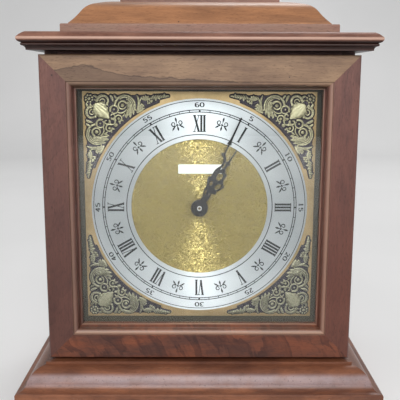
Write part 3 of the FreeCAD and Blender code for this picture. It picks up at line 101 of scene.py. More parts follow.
class Finish:
    """A node material: each method adds one node and returns its output."""

    def __init__(self, name, **constants):
        self.material = bpy.data.materials.new(name)
        self.material.use_nodes = True
        self.tree = self.material.node_tree
        self.shader = self.tree.nodes["Principled BSDF"]
        self.place = self.add("ShaderNodeTexCoord").outputs["Object"]
        for socket, value in constants.items():
            self.shader.inputs[socket.replace("_", " ")].default_value = value

    def add(self, kind, inputs=None, **settings):
        node = self.tree.nodes.new(kind)
        for key, value in settings.items():
            setattr(node, key, value)
        for socket, value in (inputs or {}).items():
            self.feed(node.inputs[socket], value)
        return node

    def feed(self, socket, value):
        if isinstance(value, bpy.types.NodeSocket):
            self.tree.links.new(value, socket)
        elif socket.type == "RGBA" and isinstance(value, float):
            socket.default_value = (value, value, value, 1.0)
        else:
            socket.default_value = value

    def give(self, name, value):
        self.feed(self.shader.inputs[name], value)

    def mapped(self, vector, scale=(1, 1, 1), turn=(0, 0, 0), shift=(0, 0, 0)):
        inputs = {"Vector": vector, "Scale": scale, "Rotation": turn, "Location": shift}
        return self.add("ShaderNodeMapping", inputs).outputs[0]

    def grained(self, vector, along, across):
        """A pattern's scale along the grain, which lies on X, and across it."""
        return self.mapped(vector, scale=(along, across, across))

    def noise(self, vector, scale, detail=2.0, rough=0.5, twist=0.0):
        inputs = {"Vector": vector, "Scale": scale, "Detail": detail, "Roughness": rough, "Distortion": twist}
        return self.add("ShaderNodeTexNoise", inputs).outputs["Fac"]

    def ramp(self, share, *stops):
        """Stops are (place, value or colour)."""
        node = self.add("ShaderNodeValToRGB", {"Fac": share})
        band = node.color_ramp
        while len(band.elements) < len(stops):
            band.elements.new(0.5)
        for element, (position, value) in zip(band.elements, stops):
            element.position = position
            element.color = (value, value, value, 1.0) if isinstance(value, float) else value
        return node.outputs["Color"]

    def cloudy(self, share, dark, light):
        """Between two sRGB colours: the dark one up to a share of 0.3, and the light one from 0.7."""
        return self.ramp(share, (0.3, colour(*dark)), (0.7, colour(*light)))

    def mix(self, share, first, second, blend="MIX"):
        node = self.add("ShaderNodeMix", data_type="RGBA", blend_type=blend)
        self.feed(node.inputs[0], share)
        self.feed(node.inputs[6], first)
        self.feed(node.inputs[7], second)
        return node.outputs[2]

    def glaze(self, share, tone, stain):
        """The tone multiplied by a stain, in full where the share is 1."""
        return self.mix(share, tone, (*stain, 1.0), "MULTIPLY")

    def reckon(self, operation, first, second=0.0, third=0.0):
        node = self.add("ShaderNodeMath", operation=operation)
        for socket, value in zip(node.inputs, (first, second, third)):
            self.feed(socket, value)
        return node.outputs[0]

    def times(self, first, second):
        return self.reckon("MULTIPLY", first, second)

    def less(self, first, second):
        return self.reckon("SUBTRACT", first, second)

    def scaled(self, value, scale, offset):
        return self.reckon("MULTIPLY_ADD", value, scale, offset)

    def vector(self, operation, first, second=(0, 0, 0), third=(0, 0, 0)):
        node = self.add("ShaderNodeVectorMath", operation=operation)
        for socket, value in zip(node.inputs, (first, second, third)):
            self.feed(socket, value)
        return node.outputs["Value" if operation == "LENGTH" else "Vector"]

    def stretched(self, vector, share):
        """A vector times a number that changes from place to place."""
        node = self.add("ShaderNodeVectorMath", operation="SCALE")
        self.feed(node.inputs[0], vector)
        self.feed(node.inputs["Scale"], share)
        return node.outputs[0]

    def axes(self, vector):
        return self.add("ShaderNodeSeparateXYZ", {"Vector": vector}).outputs

    def height(self, above=0.0):
        """Height over a level in metres."""
        up = self.axes(self.place)[2]
        return self.less(up, above) if above else up

    def bump(self, height, depth, strength=1.0):
        """Depth in metres for a height of one."""
        node = self.add("ShaderNodeBump", {"Height": height, "Distance": depth, "Strength": strength})
        self.feed(self.shader.inputs["Normal"], node.outputs[0])


# Turns that bring a member's grain on to X.
GRAIN_TURNS = {"X": (0, 0, 0), "Y": (0, 0, -math.pi / 2), "Z": (0, math.pi / 2, 0)}
PER_CM = 0.1 / MM
OGEE_SPAN = 40.0 * MM      # the height that the base's bands are shares of
HUMP_X = -86.0             # the heartwood's edge in the top rail, in mm
HUMP_SPREAD = 17.0
HUMP_RISE = 6.0
HEART_FALL = -0.055        # mm up for each mm to the right
HEART_RISE = 7.4           # over the glass opening, at the middle
MATTING_BEND = 0.4 * MM


def from_glass(f):
    """Distance outwards from the edge of the glass opening in metres."""
    beside = f.less(f.reckon("ABSOLUTE", f.axes(f.place)[0]), SIGHT_HALF)
    above = f.less(f.reckon("ABSOLUTE", f.height(DIAL_Z)), SIGHT_HALF_H)
    return f.reckon("MAXIMUM", beside, above)


def heart_patch(f):
    """Millimetres under the upper edge of the darker heartwood low on the top rail. The edge falls to
    the right and rises to a bell-shaped hump on the left."""
    run = f.times(f.axes(f.place)[0], 1.0 / MM)
    rise = f.times(f.height(DIAL_Z + SIGHT_HALF_H), 1.0 / MM)
    from_hump = f.reckon("DIVIDE", f.reckon("ADD", run, -HUMP_X), HUMP_SPREAD)
    bell = f.reckon("EXPONENT", f.times(f.reckon("POWER", from_hump, 2.0), -1.0))
    slope = f.scaled(run, HEART_FALL, HEART_RISE)
    waver = f.scaled(f.noise(f.mapped(f.place, scale=(120, 1, 160)), 1.0, 3.0), 5.0, -2.5)
    return f.less(f.reckon("ADD", f.reckon("ADD", f.times(bell, HUMP_RISE), slope), waver), rise)


def nose_glaze(f, tone):
    """The cornice gets a painted highlight along the edge of its nose, and painted shade over all that lies
    under it.
    """
    up = f.times(f.height(CORNICE_FOOT), PER_CM)
    # painted shade under the nose
    tone = f.glaze(f.ramp(up, (0.60, 0.96), (0.72, 0.0)), tone, (0.12, 0.06, 0.05))
    # painted highlight along the nose's crest
    crest_painted_highlight = f.ramp(up, (0.70, 0.0), (0.78, 0.6), (0.88, 0.6), (0.96, 0.0))
    return f.mix(crest_painted_highlight, tone, colour(222, 184, 164))


def ogee_bloom(f, tone):
    """The base's ogee: painted shade high on it, in the hollow under the door, and a painted reflection along
    its steepest part, cloudy and pitted.
    """
    up = f.times(f.height(), 1.0 / OGEE_SPAN)
    # painted shade at the top of the ogee, under the door
    tone = f.glaze(f.ramp(up, (0.76, 0.0), (0.84, 0.45)), tone, (0.40, 0.33, 0.32))
    # painted reflection band along the steepest part, cloudy, with dark pits in it
    steep_painted_reflection = f.ramp(up, (0.50, 0.0), (0.56, 1.0), (0.70, 1.0), (0.76, 0.0))
    cloudy = f.ramp(f.noise(f.place, 60.0, 4.0, 0.7), (0.30, 0.28), (0.60, 0.50))
    tone = f.mix(f.times(steep_painted_reflection, cloudy), tone, colour(178, 160, 164))
    pits = f.ramp(f.noise(f.place, 700.0, 2.0, 0.6), (0.62, 0.0), (0.70, 0.6))
    return f.mix(f.times(steep_painted_reflection, pits), tone, colour(92, 66, 58))


def walnut(name, grain, stains, seed=0.0, figure=0.15, curl=0.0, slant=0.0, gloss=0.42, low=None,
           painted_underside_shade=0.6, painted_bead_light=0.0, heart=False, nose=False, ogee=False, coat=0.35):
    """Stained and lacquered walnut: a cloudy stain between light and dark, fine streaks and faint growth
    rings along the grain, slanting curl, short pores and a few dark specks. What faces down gets painted
    shade, and the door's beads a painted highlight. Low is the stain that the wood fades to downwards.
    Patterns count in centimetres, with the grain along X, and the seed moves them on."""
    f = Finish(name, Coat_Weight=coat, Coat_Roughness=0.34, Specular_IOR_Level=0.3)
    along = f.mapped(f.place, scale=(PER_CM, PER_CM, PER_CM), turn=GRAIN_TURNS[grain])
    along = f.vector("ADD", along, (seed * 7.3, seed * 3.1, seed * 5.7))
    bend = f.add("ShaderNodeTexNoise", {"Vector": f.grained(along, 0.12, 0.5), "Scale": 1.0,
                                        "Detail": 3.0}).outputs["Color"]
    bent = f.vector("MULTIPLY_ADD", bend, (0.0, 1.8, 1.8), along)
    stain = f.noise(f.grained(bent, 0.24, 0.85), 1.0, 4.0, 0.6)
    tone = f.ramp(stain, (0.36, colour(*stains[1])), (0.62, colour(*stains[0])))
    if low:
        drop = f.scaled(f.height(DIAL_Z), -5.0, 0.5)
        drop = f.reckon("ADD", drop, f.scaled(stain, 0.6, -0.3))
        tone = f.mix(f.ramp(drop, (0.0, 0.0), (0.75, 1.0)), tone, f.mix(0.3, colour(*low), tone))
    if curl:
        turned = f.mapped(bent, turn=(0, math.radians(slant), 0))
        waves = f.noise(f.grained(turned, 0.50, 0.13), 1.0, 4.0, 0.55, 0.3)
        edges = f.ramp(waves, (0.30, 0.15), (0.49, 0.0), (0.505, 1.0), (0.60, 0.35))
        tone = f.glaze(f.times(edges, curl), tone, (0.40, 0.30, 0.30))
        ripple = f.noise(f.grained(turned, 3.2, 0.7), 1.0, 2.0)
        ripple = f.ramp(ripple, (0.50, 0.0), (0.62, 0.5))
        tone = f.glaze(f.times(ripple, curl), tone, (0.42, 0.32, 0.30))
    rings = f.noise(f.grained(bent, 0.09, 2.6), 1.0, 2.0, 0.5)
    lines = f.ramp(f.reckon("FRACT", f.times(rings, 7.0)), (0.0, 1.0), (0.35, 0.0), (1.0, 0.25))
    tone = f.glaze(f.times(lines, figure), tone, (0.30, 0.22, 0.20))
    streaks = f.noise(f.grained(along, 0.5, 9.0), 1.0, 4.0, 0.65)
    tone = f.glaze(f.ramp(streaks, (0.35, 0.22), (0.65, 0.0)), tone, (0.30, 0.22, 0.20))
    if heart:
        under = heart_patch(f)
        tone = f.glaze(f.ramp(under, (0.0, 0.0), (0.3, 0.75)), tone, (0.46, 0.43, 0.46))
        edge = f.ramp(f.reckon("ABSOLUTE", f.less(under, 0.4)), (0.0, 0.7), (0.8, 0.0))
        tone = f.glaze(edge, tone, (0.40, 0.36, 0.36))
    pores = f.noise(f.mapped(along, scale=(3.0, 20.0, 20.0), shift=(1, 5, 8)), 1.0, 1.0)
    pores = f.ramp(pores, (0.60, 0.0), (0.72, 1.0))
    tone = f.glaze(f.times(pores, 0.45), tone, (0.25, 0.17, 0.16))
    cells = f.add("ShaderNodeTexVoronoi", {"Vector": along, "Scale": 0.7})
    speck = f.reckon("LESS_THAN", cells.outputs["Distance"], 0.045)
    some = f.reckon("GREATER_THAN", f.axes(cells.outputs["Color"])[0], 0.45)
    tone = f.mix(f.times(f.times(speck, some), 0.8), tone, colour(28, 16, 14))
    if ogee:
        tone = ogee_bloom(f, tone)
    if nose:
        tone = nose_glaze(f, tone)
    # painted highlight along the crest of the door's bead, and a painted light line at the glass's edge
    if painted_bead_light:
        out = f.times(from_glass(f), PER_CM)
        bead_painted_highlight = f.ramp(out, (0.08, 0.6), (0.10, 0.0), (0.25, 0.2), (0.42, 1.0), (0.58, 1.0), (0.62, 0.0))
        tone = f.mix(f.times(bead_painted_highlight, painted_bead_light), tone, colour(214, 176, 152))
    # painted shade on what faces down
    down = f.times(f.axes(f.add("ShaderNodeTexCoord").outputs["Normal"])[2], -1.0)
    shade = f.times(f.ramp(down, (0.05, 0.0), (0.55, 1.0)), painted_underside_shade)
    f.give("Base Color", f.glaze(shade, tone, (0.30, 0.22, 0.22)))
    f.give("Roughness", f.scaled(streaks, 0.16, f.scaled(pores, 0.12, gloss - 0.08)))
    f.bump(f.less(f.times(streaks, 0.4), pores), 0.04 * MM, 0.6)
    return f


def board_paint():
    """Dark olive paint on the board behind the dial, thin enough to show the grain. Its dark olive tone is
    partly painted shade, matched to the dial plate in shade.
    """
    f = Finish("board_paint", Roughness=0.55)
    grain = f.noise(f.mapped(f.place, scale=(60, 400, 400)), 1.0, 4.0)
    # dark olive tone, partly painted shade
    f.give("Base Color", f.cloudy(grain, (43, 35, 18), (53, 44, 24)))
    f.bump(grain, 0.05 * MM)
    return f


def flat_from_dial(f):
    """The place in the plane of the dial, counted from its centre in metres."""
    return f.mapped(f.place, scale=(1, 0, 1), shift=(-DIAL_X, 0, -DIAL_Z))


def spun(f, radius, fineness):
    """Very fine rings of turning marks: noise that changes with the radius only."""
    marks = f.add("ShaderNodeCombineXYZ", {"X": f.times(radius, fineness)}).outputs[0]
    return f.noise(marks, 1.0, 3.0, 0.7)


def brushed_round(f, anisotropic):
    """Turning marks spread a highlight across themselves, so it fans out from the dial's centre."""
    f.give("Anisotropic", anisotropic)
    f.give("Anisotropic Rotation", 0.25)
    f.give("Tangent", f.add("ShaderNodeTangent", direction_type="RADIAL", axis="Y").outputs[0])


def matting_normal(f, across, along):
    """The normal over matted brass: each grain leans by chance, more across the turning marks than
    along them. Also gives the face's own normal, and a third chance that picks the grain's tone."""
    bent = f.add("ShaderNodeTexNoise", {"Vector": f.place, "Scale": 1500.0}).outputs["Color"]
    bent = f.vector("MULTIPLY_ADD", bent, (MATTING_BEND, MATTING_BEND, MATTING_BEND), f.place)
    grain = f.add("ShaderNodeTexVoronoi", {"Vector": bent, "Scale": 2000.0}).outputs["Color"]
    chance = f.axes(f.vector("SUBTRACT", grain, (0.5, 0.5, 0.5)))
    outward = f.vector("NORMALIZE", flat_from_dial(f))
    around = f.vector("CROSS_PRODUCT", outward, (0.0, 1.0, 0.0))
    straight = f.add("ShaderNodeNewGeometry").outputs["Normal"]
    leaning = f.vector("ADD", straight, f.stretched(outward, f.times(chance[0], across)))
    leaning = f.vector("ADD", leaning, f.stretched(around, f.times(chance[1], along)))
    return straight, f.vector("NORMALIZE", leaning), chance[2]


def dial_brass():
    """Inside the ring the brass is gilt over a fine matting that glitters above and below the centre
    and looks smooth at its sides. Outside the ring it is satin."""
    f = Finish("dial_brass")
    radius = f.vector("LENGTH", flat_from_dial(f))
    inside = f.ramp(f.times(radius, 10.0), (0.545, 1.0), (0.560, 0.0))
    straight, leaning, grit = matting_normal(f, 1.6, 0.16)
    cloud = f.noise(f.place, 90.0, 3.0, 0.6)
    gilt = f.ramp(f.reckon("ADD", grit, 0.5), (0.48, colour(136, 116, 58)), (0.66, colour(170, 152, 92)))
    satin = f.cloudy(cloud, (154, 130, 94), (178, 152, 114))
    f.give("Base Color", f.mix(inside, satin, gilt))
    f.give("Metallic", f.mix(inside, 1.0, 0.6))
    f.give("Roughness", f.mix(inside, 0.42, 0.21))
    f.give("Normal", f.mix(inside, straight, leaning))
    brushed_round(f, 0.4)
    return f


def silvering():
    """Silvered brass, brushed round and round, with a faint uneven bloom."""
    f = Finish("silvering", Metallic=0.9)
    marks = spun(f, f.vector("LENGTH", flat_from_dial(f)), 7000.0)
    bloom = f.mix(0.4, f.noise(f.place, 35.0, 3.0), marks)
    f.give("Base Color", f.cloudy(bloom, (179, 181, 187), (203, 204, 209)))
    f.give("Roughness", f.ramp(marks, (0.3, 0.50), (0.7, 0.60)))
    f.bump(marks, 0.01 * MM, 0.5)
    brushed_round(f, 0.85)
    return f


def antique_brass():
    """Cast brass: dark in the recesses, rubbed bright on what stands proud (attribute 'rub'), and
    darkened on the lower castings by painted shade."""
    f = Finish("antique_brass", Metallic=0.75)
    rub = f.add("ShaderNodeAttribute", attribute_name="rub").outputs["Fac"]
    worn = f.scaled(f.noise(f.place, 900.0, 3.0), 0.30, f.less(rub, 0.15))
    tone = f.ramp(worn, (0.10, colour(62, 55, 64)), (0.34, colour(104, 97, 88)),
                  (0.60, colour(154, 147, 118)), (0.88, colour(200, 191, 160)))
    # painted shade: the lower castings darker
    drop = f.ramp(f.scaled(f.height(DIAL_Z), -8.0, 0.5), (0.2, 0.0), (0.8, 0.8))
    f.give("Base Color", f.glaze(drop, tone, (0.58, 0.60, 0.66)))
    f.give("Roughness", f.ramp(worn, (0.2, 0.65), (0.8, 0.40)))
    f.bump(f.noise(f.place, 2500.0, 2.0), 0.03 * MM, 0.4)
    return f


def metal(name, tone, marked, roughness):
    """Plain metal with fine scratches and slight tarnish."""
    f = Finish(name, Metallic=1.0)
    cloud = f.noise(f.place, 120.0, 4.0)
    marks = f.noise(f.mapped(f.place, scale=(600, 600, 4800)), 1.0, 2.0)
    f.give("Base Color", f.ramp(f.mix(0.5, cloud, marks), (0.3, colour(*marked)), (0.65, colour(*tone))))
    f.give("Roughness", f.scaled(cloud, 0.18, roughness - 0.09))
    f.bump(marks, 0.01 * MM, 0.5)
    return f


def moulded(name, tone, roughness, specular=0.5):
    """Moulded plastic or paint with a fine skin."""
    f = Finish(name, Specular_IOR_Level=specular)
    cloud = f.noise(f.place, 60.0, 3.0)
    tone = colour(*tone)
    darker = tuple(0.82 * value for value in tone[:3]) + (1.0,)
    f.give("Base Color", f.mix(cloud, darker, tone))
    f.give("Roughness", f.scaled(cloud, 0.14, roughness - 0.07))
    f.bump(f.noise(f.place, 3000.0, 2.0), 0.02 * MM, 0.5)
    return f


def cell_jacket():
    """The cell's printed sleeve: black, with a copper band at the positive end and a bare metal tip."""
    f = Finish("cell_jacket", Coat_Weight=0.4, Coat_Roughness=0.1)
    low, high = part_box("battery")
    length = {"Value": f.axes(f.place)[0], "From Min": low.x, "From Max": high.x}
    share = f.add("ShaderNodeMapRange", length).outputs[0]
    band = f.ramp(share, (0.70, 0.0), (0.705, 1.0))
    tip = f.ramp(share, (0.972, 0.0), (0.974, 1.0))
    wear = f.noise(f.place, 200.0, 3.0)
    copper = f.cloudy(wear, (176, 112, 62), (198, 134, 80))
    black = f.cloudy(wear, (26, 27, 30), (36, 37, 41))
    f.give("Base Color", f.mix(tip, f.mix(band, black, copper), colour(190, 190, 192)))
    f.give("Metallic", tip)
    f.give("Roughness", f.scaled(wear, 0.15, 0.22))
    return f


def circuit_green():
    """Green board with a net of paler tracks."""
    f = Finish("circuit_green", Roughness=0.4)
    flat = f.mapped(f.place, scale=(1, 0, 1), turn=(math.pi / 2, 0, 0))
    tracks = f.add("ShaderNodeTexBrick", {"Vector": flat, "Scale": 90.0, "Mortar Size": 0.03,
                                          "Color1": colour(34, 92, 52), "Color2": colour(28, 78, 44),
                                          "Mortar": colour(96, 140, 84)}).outputs["Color"]
    f.give("Base Color", f.mix(f.noise(f.place, 400.0), tracks, colour(30, 84, 48)))
    return f


def door_pane():
    """Clear glass, faintly green and faintly smeared, that lets the light of lamps through to the dial."""
    f = Finish("door_pane", Base_Color=colour(248, 252, 250), IOR=1.45, Transmission_Weight=1.0)
    f.give("Roughness", f.ramp(f.noise(f.place, 30.0, 4.0), (0.4, 0.0), (0.8, 0.03)))
    clear = f.add("ShaderNodeBsdfTransparent", {"Color": (0.93, 0.95, 0.94, 1.0)}).outputs[0]
    both = f.add("ShaderNodeMixShader")
    f.feed(both.inputs[0], f.add("ShaderNodeLightPath").outputs["Is Shadow Ray"])
    f.feed(both.inputs[1], f.shader.outputs[0])
    f.feed(both.inputs[2], clear)
    f.feed(f.tree.nodes["Material Output"].inputs["Surface"], both.outputs[0])
    return f


# ---- which finish goes on what ----

# light and dark stains
TAN = (156, 125, 96), (130, 101, 78)
PLUM = (122, 80, 70), (98, 62, 56)
RUST = (108, 54, 34), (80, 44, 34)
RED = (128, 70, 44), (88, 50, 38)
ORANGE = (182, 128, 88), (152, 106, 74)
ROSE = (150, 106, 88), (112, 72, 58)
PALE_ROSE = (150, 115, 95), ROSE[0]
CHESTNUT = (148, 94, 66), (108, 66, 48)
DEEP = (150, 100, 94), (110, 74, 70)
PINE = (206, 172, 124), (184, 146, 100)
RUST_FOOT = (96, 48, 31)

# node, grain, stains, place in the pattern, and what else sets the member apart
WALNUT_NODES = [
    ("door_rail_top", "X", TAN, 1.0, {"painted_bead_light": 0.15, "heart": True}),
    ("door_rail_bottom", "X", RED, 2.0, {"curl": 0.75, "slant": 28.0, "painted_bead_light": 0.5}),
    ("door_stile_left", "Z", PLUM, 3.0, {"curl": 0.25, "slant": 50.0, "low": RUST[1], "painted_bead_light": 0.18}),
    ("door_stile_right", "Z", PLUM, 4.0, {"figure": 0.25, "low": RUST_FOOT, "painted_bead_light": 0.3}),
    ("caddy_plinth", "X", PALE_ROSE, 8.0, {}),
    ("top_slab", "X", ROSE, 12.0, {}),
    ("side_panel_left", "Z", PLUM, 16.0, {"figure": 0.35, "low": RUST[1]}),
    ("side_panel_right", "Z", PLUM, 17.0, {"figure": 0.35, "low": RUST[1]}),
    ("back_door", "Z", RUST, 18.0, {"figure": 0.35}),
    ("bell_back_board", "X", RUST, 19.0, {"figure": 0.3}),
    ("base_rear_rail", "X", RUST, 20.0, {"figure": 0.3}),
    ("glass_beads", "Z", RUST, 21.0, {}),
    ("top_board", "X", DEEP, 22.0, {}),
    ("cornice_board", "X", RUST, 24.0, {"figure": 0.3}),
    ("base_board", "X", RUST, 25.0, {"figure": 0.3}),
]
# A moulding has three members: the front's grain runs along X, and the returns' along Y.
for stem, stains, place, looks in (("cornice", ROSE, 5.0, {"nose": True, "coat": 0.1}),
                                   ("bell", ORANGE, 9.0, {}),
                                   ("base_moulding", CHESTNUT, 13.0, {"ogee": True})):
    for number, (side, grain) in enumerate((("front", "X"), ("left", "Y"), ("right", "Y"))):
        WALNUT_NODES.append((f"{stem}_{side}", grain, stains, place + number, looks))

member_finishes = {node: walnut("walnut_" + node, grain, stains, place, **looks)
                   for node, grain, stains, place, looks in WALNUT_NODES}
member_finishes["minute_arbor"] = metal("tarnished_brass", (104, 90, 62), (78, 66, 46), 0.40)

slot_finishes = {
    "softwood": walnut("softwood", "X", PINE, 23.0, figure=0.4, gloss=0.6, painted_underside_shade=0.0, coat=0.0),
    "plywood": board_paint(),
    "dial_brass": dial_brass(),
    "silvered": silvering(),
    "antique_brass": antique_brass(),
    "hand_black": moulded("hand_black", (12, 9, 13), 0.42, 0.15),
    "steel": metal("steel", (206, 206, 208), (160, 160, 164), 0.28),
    "brass": metal("brass", (214, 178, 104), (176, 138, 70), 0.24),
    "black_plastic": moulded("black_plastic", (34, 34, 36), 0.48),
    "white_plastic": moulded("white_plastic", (226, 225, 216), 0.34),
    "glass": door_pane(),
    "rubber": moulded("rubber", (38, 38, 38), 0.75, 0.3),
    "battery_jacket": cell_jacket(),
    "circuit": circuit_green(),
    "magnet_steel": metal("magnet_steel", (188, 188, 190), (150, 150, 154), 0.30),
    "glide_plastic": moulded("glide_plastic", (74, 66, 58), 0.40),
}

for part in frame["record"]["subparts"]:
    finish = member_finishes.get(part["node"]) or slot_finishes[part["material_slot"]]
    for slot in nodes[part["node"]].material_slots:
        slot.material = finish.material


# ---- meshes ----

class Heap:
    """Gathers closed shells into the arrays of one mesh."""

    def __init__(self):
        self.points = []
        self.faces = []
        self.count = 0

    def add(self, points, faces):
        points = np.asarray(points, float).reshape(-1, 3)
        self.points.append(points)
        self.faces += (np.asarray(faces) + self.count).tolist()
        self.count += len(points)

    def grid(self, points):
        """A tube whose rows are the rings round it, with a flat face over each end."""
        rows, columns = points.shape[:2]
        row, column = np.meshgrid(np.arange(rows - 1), np.arange(columns), indexing="ij")
        after = (column + 1) % columns
        quads = np.stack([row * columns + column, row * columns + after,
                          (row + 1) * columns + after, (row + 1) * columns + column], -1).reshape(-1, 4)
        start = self.count
        self.add(points, quads)
        last = start + (rows - 1) * columns
        self.faces.append(list(range(start, start + columns))[::-1])
        self.faces.append(list(range(last, last + columns)))

    def mesh(self, name):
        mesh = bpy.data.meshes.new(name)
        mesh.from_pydata(np.concatenate(self.points).tolist(), [], self.faces)
        tidy = bmesh.new()
        tidy.from_mesh(mesh)
        bmesh.ops.remove_doubles(tidy, verts=tidy.verts, dist=1e-7)
        bmesh.ops.recalc_face_normals(tidy, faces=tidy.faces)
        tidy.to_mesh(mesh)
        tidy.free()
        return mesh


def stand(name, data):
    """Puts a mesh, lamp or camera into the scene."""
    thing = bpy.data.objects.new(name, data)
    bpy.context.scene.collection.objects.link(thing)
    return thing


def smoothed(mesh, smooth=True):
    """Shades all faces smooth, or all flat."""
    mesh.polygons.foreach_set("use_smooth", np.full(len(mesh.polygons), smooth))


def piece(name, mesh, slot, body="case", finish=None, smooth=True):
    """Stands a mesh in the scene with its finish, and fixes it to the body that carries it."""
    thing = stand(name, mesh)
    mesh.materials.append((finish or slot_finishes[slot]).material)
    smoothed(mesh, smooth)
    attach(thing, body)
    return thing


# ---- the print on the chapter ring ----
# Print is drawn in the plane of the dial as bands: a path, and half a width at each of its points.

def band(heap, path, half):
    """The path moved half a width to each side, at the front and at the back of the ink."""
    path = np.asarray(path, float)
    half = np.broadcast_to(np.asarray(half, float), len(path))
    direction = np.gradient(path, axis=0)
    direction /= np.linalg.norm(direction, axis=1, keepdims=True)
    side = np.stack([-direction[:, 1], direction[:, 0]], 1) * half[:, None]
    front = RING_FACE - INK_LIFT
    rings = []
    for edge, depth in ((path + side, front), (path - side, front),
                        (path - side, front + INK_DEPTH), (path + side, front + INK_DEPTH)):
        y = np.full(len(path), depth)
        rings.append(np.stack([DIAL_X + edge[:, 0], y, DIAL_Z + edge[:, 1]], 1))
    heap.grid(np.stack(rings, 1))


def arc(centre, radii, start, end, count=20):
    """Points on an ellipse: centre plus the two radii times the cosine and sine, degrees from +X."""
    turn = np.radians(np.linspace(start, end, count))
    return np.stack([centre[0] + radii[0] * np.cos(turn), centre[1] + radii[1] * np.sin(turn)], 1)


def spiral(centre, radius, end_radius, start, end, count=40):
    """A curl whose radius changes evenly with its angle, from start to end in degrees."""
    turn = np.radians(np.linspace(start, end, count))
    length = np.linspace(radius, end_radius, count)
    return np.stack([centre[0] + length * np.cos(turn), centre[1] + length * np.sin(turn)], 1)


def line(start, end, count=2):
    """Points evenly along a straight line."""
    share = np.linspace(0, 1, count)[:, None]
    return np.asarray(start, float) * (1 - share) + np.asarray(end, float) * share


def on_ring(points, clockwise, foot, scale=MM):
    """Moves a drawing on to the ring: its first number runs clockwise, its second outwards from foot."""
    angle = math.radians(clockwise)
    outward = np.array([math.sin(angle), math.cos(angle)])
    right = np.array([math.cos(angle), -math.sin(angle)])
    points = np.asarray(points, float) * scale
    return points[:, :1] * right + (points[:, 1:] + foot) * outward


STEM = 0.78            # half widths in mm
HAIR = 0.27
LETTER_H = (NUMERAL_HEAD - NUMERAL_FOOT) * RING_R / MM
LETTER_W = {"I": 2.4, "V": 4.7, "X": 4.9}
SERIF = 1.2


def roman_letter(letter, left):
    """Strokes of one letter as (path, half width): stems thick, the rest hairlines with serifs."""
    middle = left + LETTER_W[letter] / 2
    reach = LETTER_W[letter] / 2 - 0.75
    low, high = HAIR, LETTER_H - HAIR
    strokes = []
    feet = []
    if letter == "I":
        strokes.append((line((middle, low), (middle, high)), STEM))
        feet = [(middle, low), (middle, high)]
    elif letter == "V":
        strokes.append((line((middle - reach, high), (middle, low)), STEM))
        strokes.append((line((middle + reach, high), (middle, low)), HAIR))
        feet = [(middle - reach, high), (middle + reach, high)]
    else:
        strokes.append((line((middle - reach, high), (middle + reach, low)), STEM))
        strokes.append((line((middle + reach, high), (middle - reach, low)), HAIR))
        feet = [(middle + side * reach, end) for side in (-1, 1) for end in (low, high)]
    strokes += [(line((x - SERIF, y), (x + SERIF, y)), HAIR) for x, y in feet]
    return strokes


def draw_numerals(heap):
    """Each numeral stands with its foot towards the centre, letter beside letter about its hour's ray."""
    words = ("I", "II", "III", "IIII", "V", "VI", "VII", "VIII", "IX", "X", "XI", "XII")
    for hour, word in enumerate(words, 1):
        left = -sum(LETTER_W[letter] for letter in word) / 2
        for letter in word:
            for path, half in roman_letter(letter, left):
                band(heap, on_ring(path, 30 * hour, NUMERAL_FOOT * RING_R), half * MM)
            left += LETTER_W[letter]


# Figures in a box one high: each is a list of strokes. A stroke is thick where it runs upright.
FIGURES = {
    "0": [arc((0.50, 0.50), (0.40, 0.45), 0, 360, 32)],
    "1": [line((0.44, 1.0), (0.44, 0.0), 6), line((0.44, 0.97), (0.22, 0.84), 3),
          line((0.18, 0.03), (0.70, 0.03), 3)],
    "2": [np.concatenate([arc((0.46, 0.71), (0.32, 0.25), 165, -30, 16),
                          line((0.60, 0.48), (0.12, 0.06), 5)]), line((0.10, 0.05), (0.88, 0.05), 3)],
    "3": [arc((0.42, 0.75), (0.30, 0.21), 150, -85, 16), arc((0.42, 0.28), (0.36, 0.25), 85, -155, 18)],
    "4": [line((0.62, 1.0), (0.06, 0.32), 5), line((0.02, 0.30), (0.92, 0.30), 3),
          line((0.62, 1.0), (0.62, 0.0), 6)],
    "5": [line((0.20, 0.94), (0.80, 0.94), 3), line((0.22, 0.95), (0.18, 0.55), 3),
          arc((0.44, 0.31), (0.36, 0.27), 130, -150, 20)],
    "6": [arc((0.52, 0.50), (0.40, 0.45), 55, 250, 18), arc((0.50, 0.28), (0.36, 0.24), 0, 360, 26)],
}
FIGURE_W = 1.06
FIGURE_THICK = 0.15
FIGURE_THIN = 0.07


def pen(path):
    """Half the width of a pen stroke: thin along the line of writing, thick across it."""
    direction = np.gradient(path, axis=0)
    rise = np.abs(direction[:, 1]) / np.linalg.norm(direction, axis=1)
    return FIGURE_THIN + (FIGURE_THICK - FIGURE_THIN) * rise ** 1.5


def draw_figures(heap):
    """The minutes by fives outside the track, each word centred on its ray."""
    size = (FIGURE_HEAD - FIGURE_FOOT) * RING_R
    for minute in range(5, 65, 5):
        word = str(minute)
        left = -len(word) * FIGURE_W / 2
        for figure in word:
            for path in FIGURES[figure]:
                moved = on_ring(path + [left, 0.0], 6 * minute, FIGURE_FOOT * RING_R, size)
                band(heap, moved, pen(path) * size)
            left += FIGURE_W


def draw_track(heap):
    """Two circles with a tick for each minute and a waisted mark for each five, and the border lines."""
    for share, half in ((TRACK_IN, 0.33), (TRACK_OUT, 0.33), (OUTER_LINE, 0.27), (INNER_LINE, 0.34)):
        circle = arc((0, 0), (share * RING_R, share * RING_R), 0, 360, 241)
        band(heap, circle, half * MM)
    gap = (TRACK_OUT - TRACK_IN) * RING_R / MM
    waist = 0.5 + 0.8 * np.abs(np.linspace(-1, 1, 9)) ** 1.5
    path = line((0, -0.1), (0, gap + 0.1), 9)
    for minute in range(60):
        half = 0.26 if minute % 5 else waist
        band(heap, on_ring(path, 6 * minute, TRACK_IN * RING_R), half * MM)


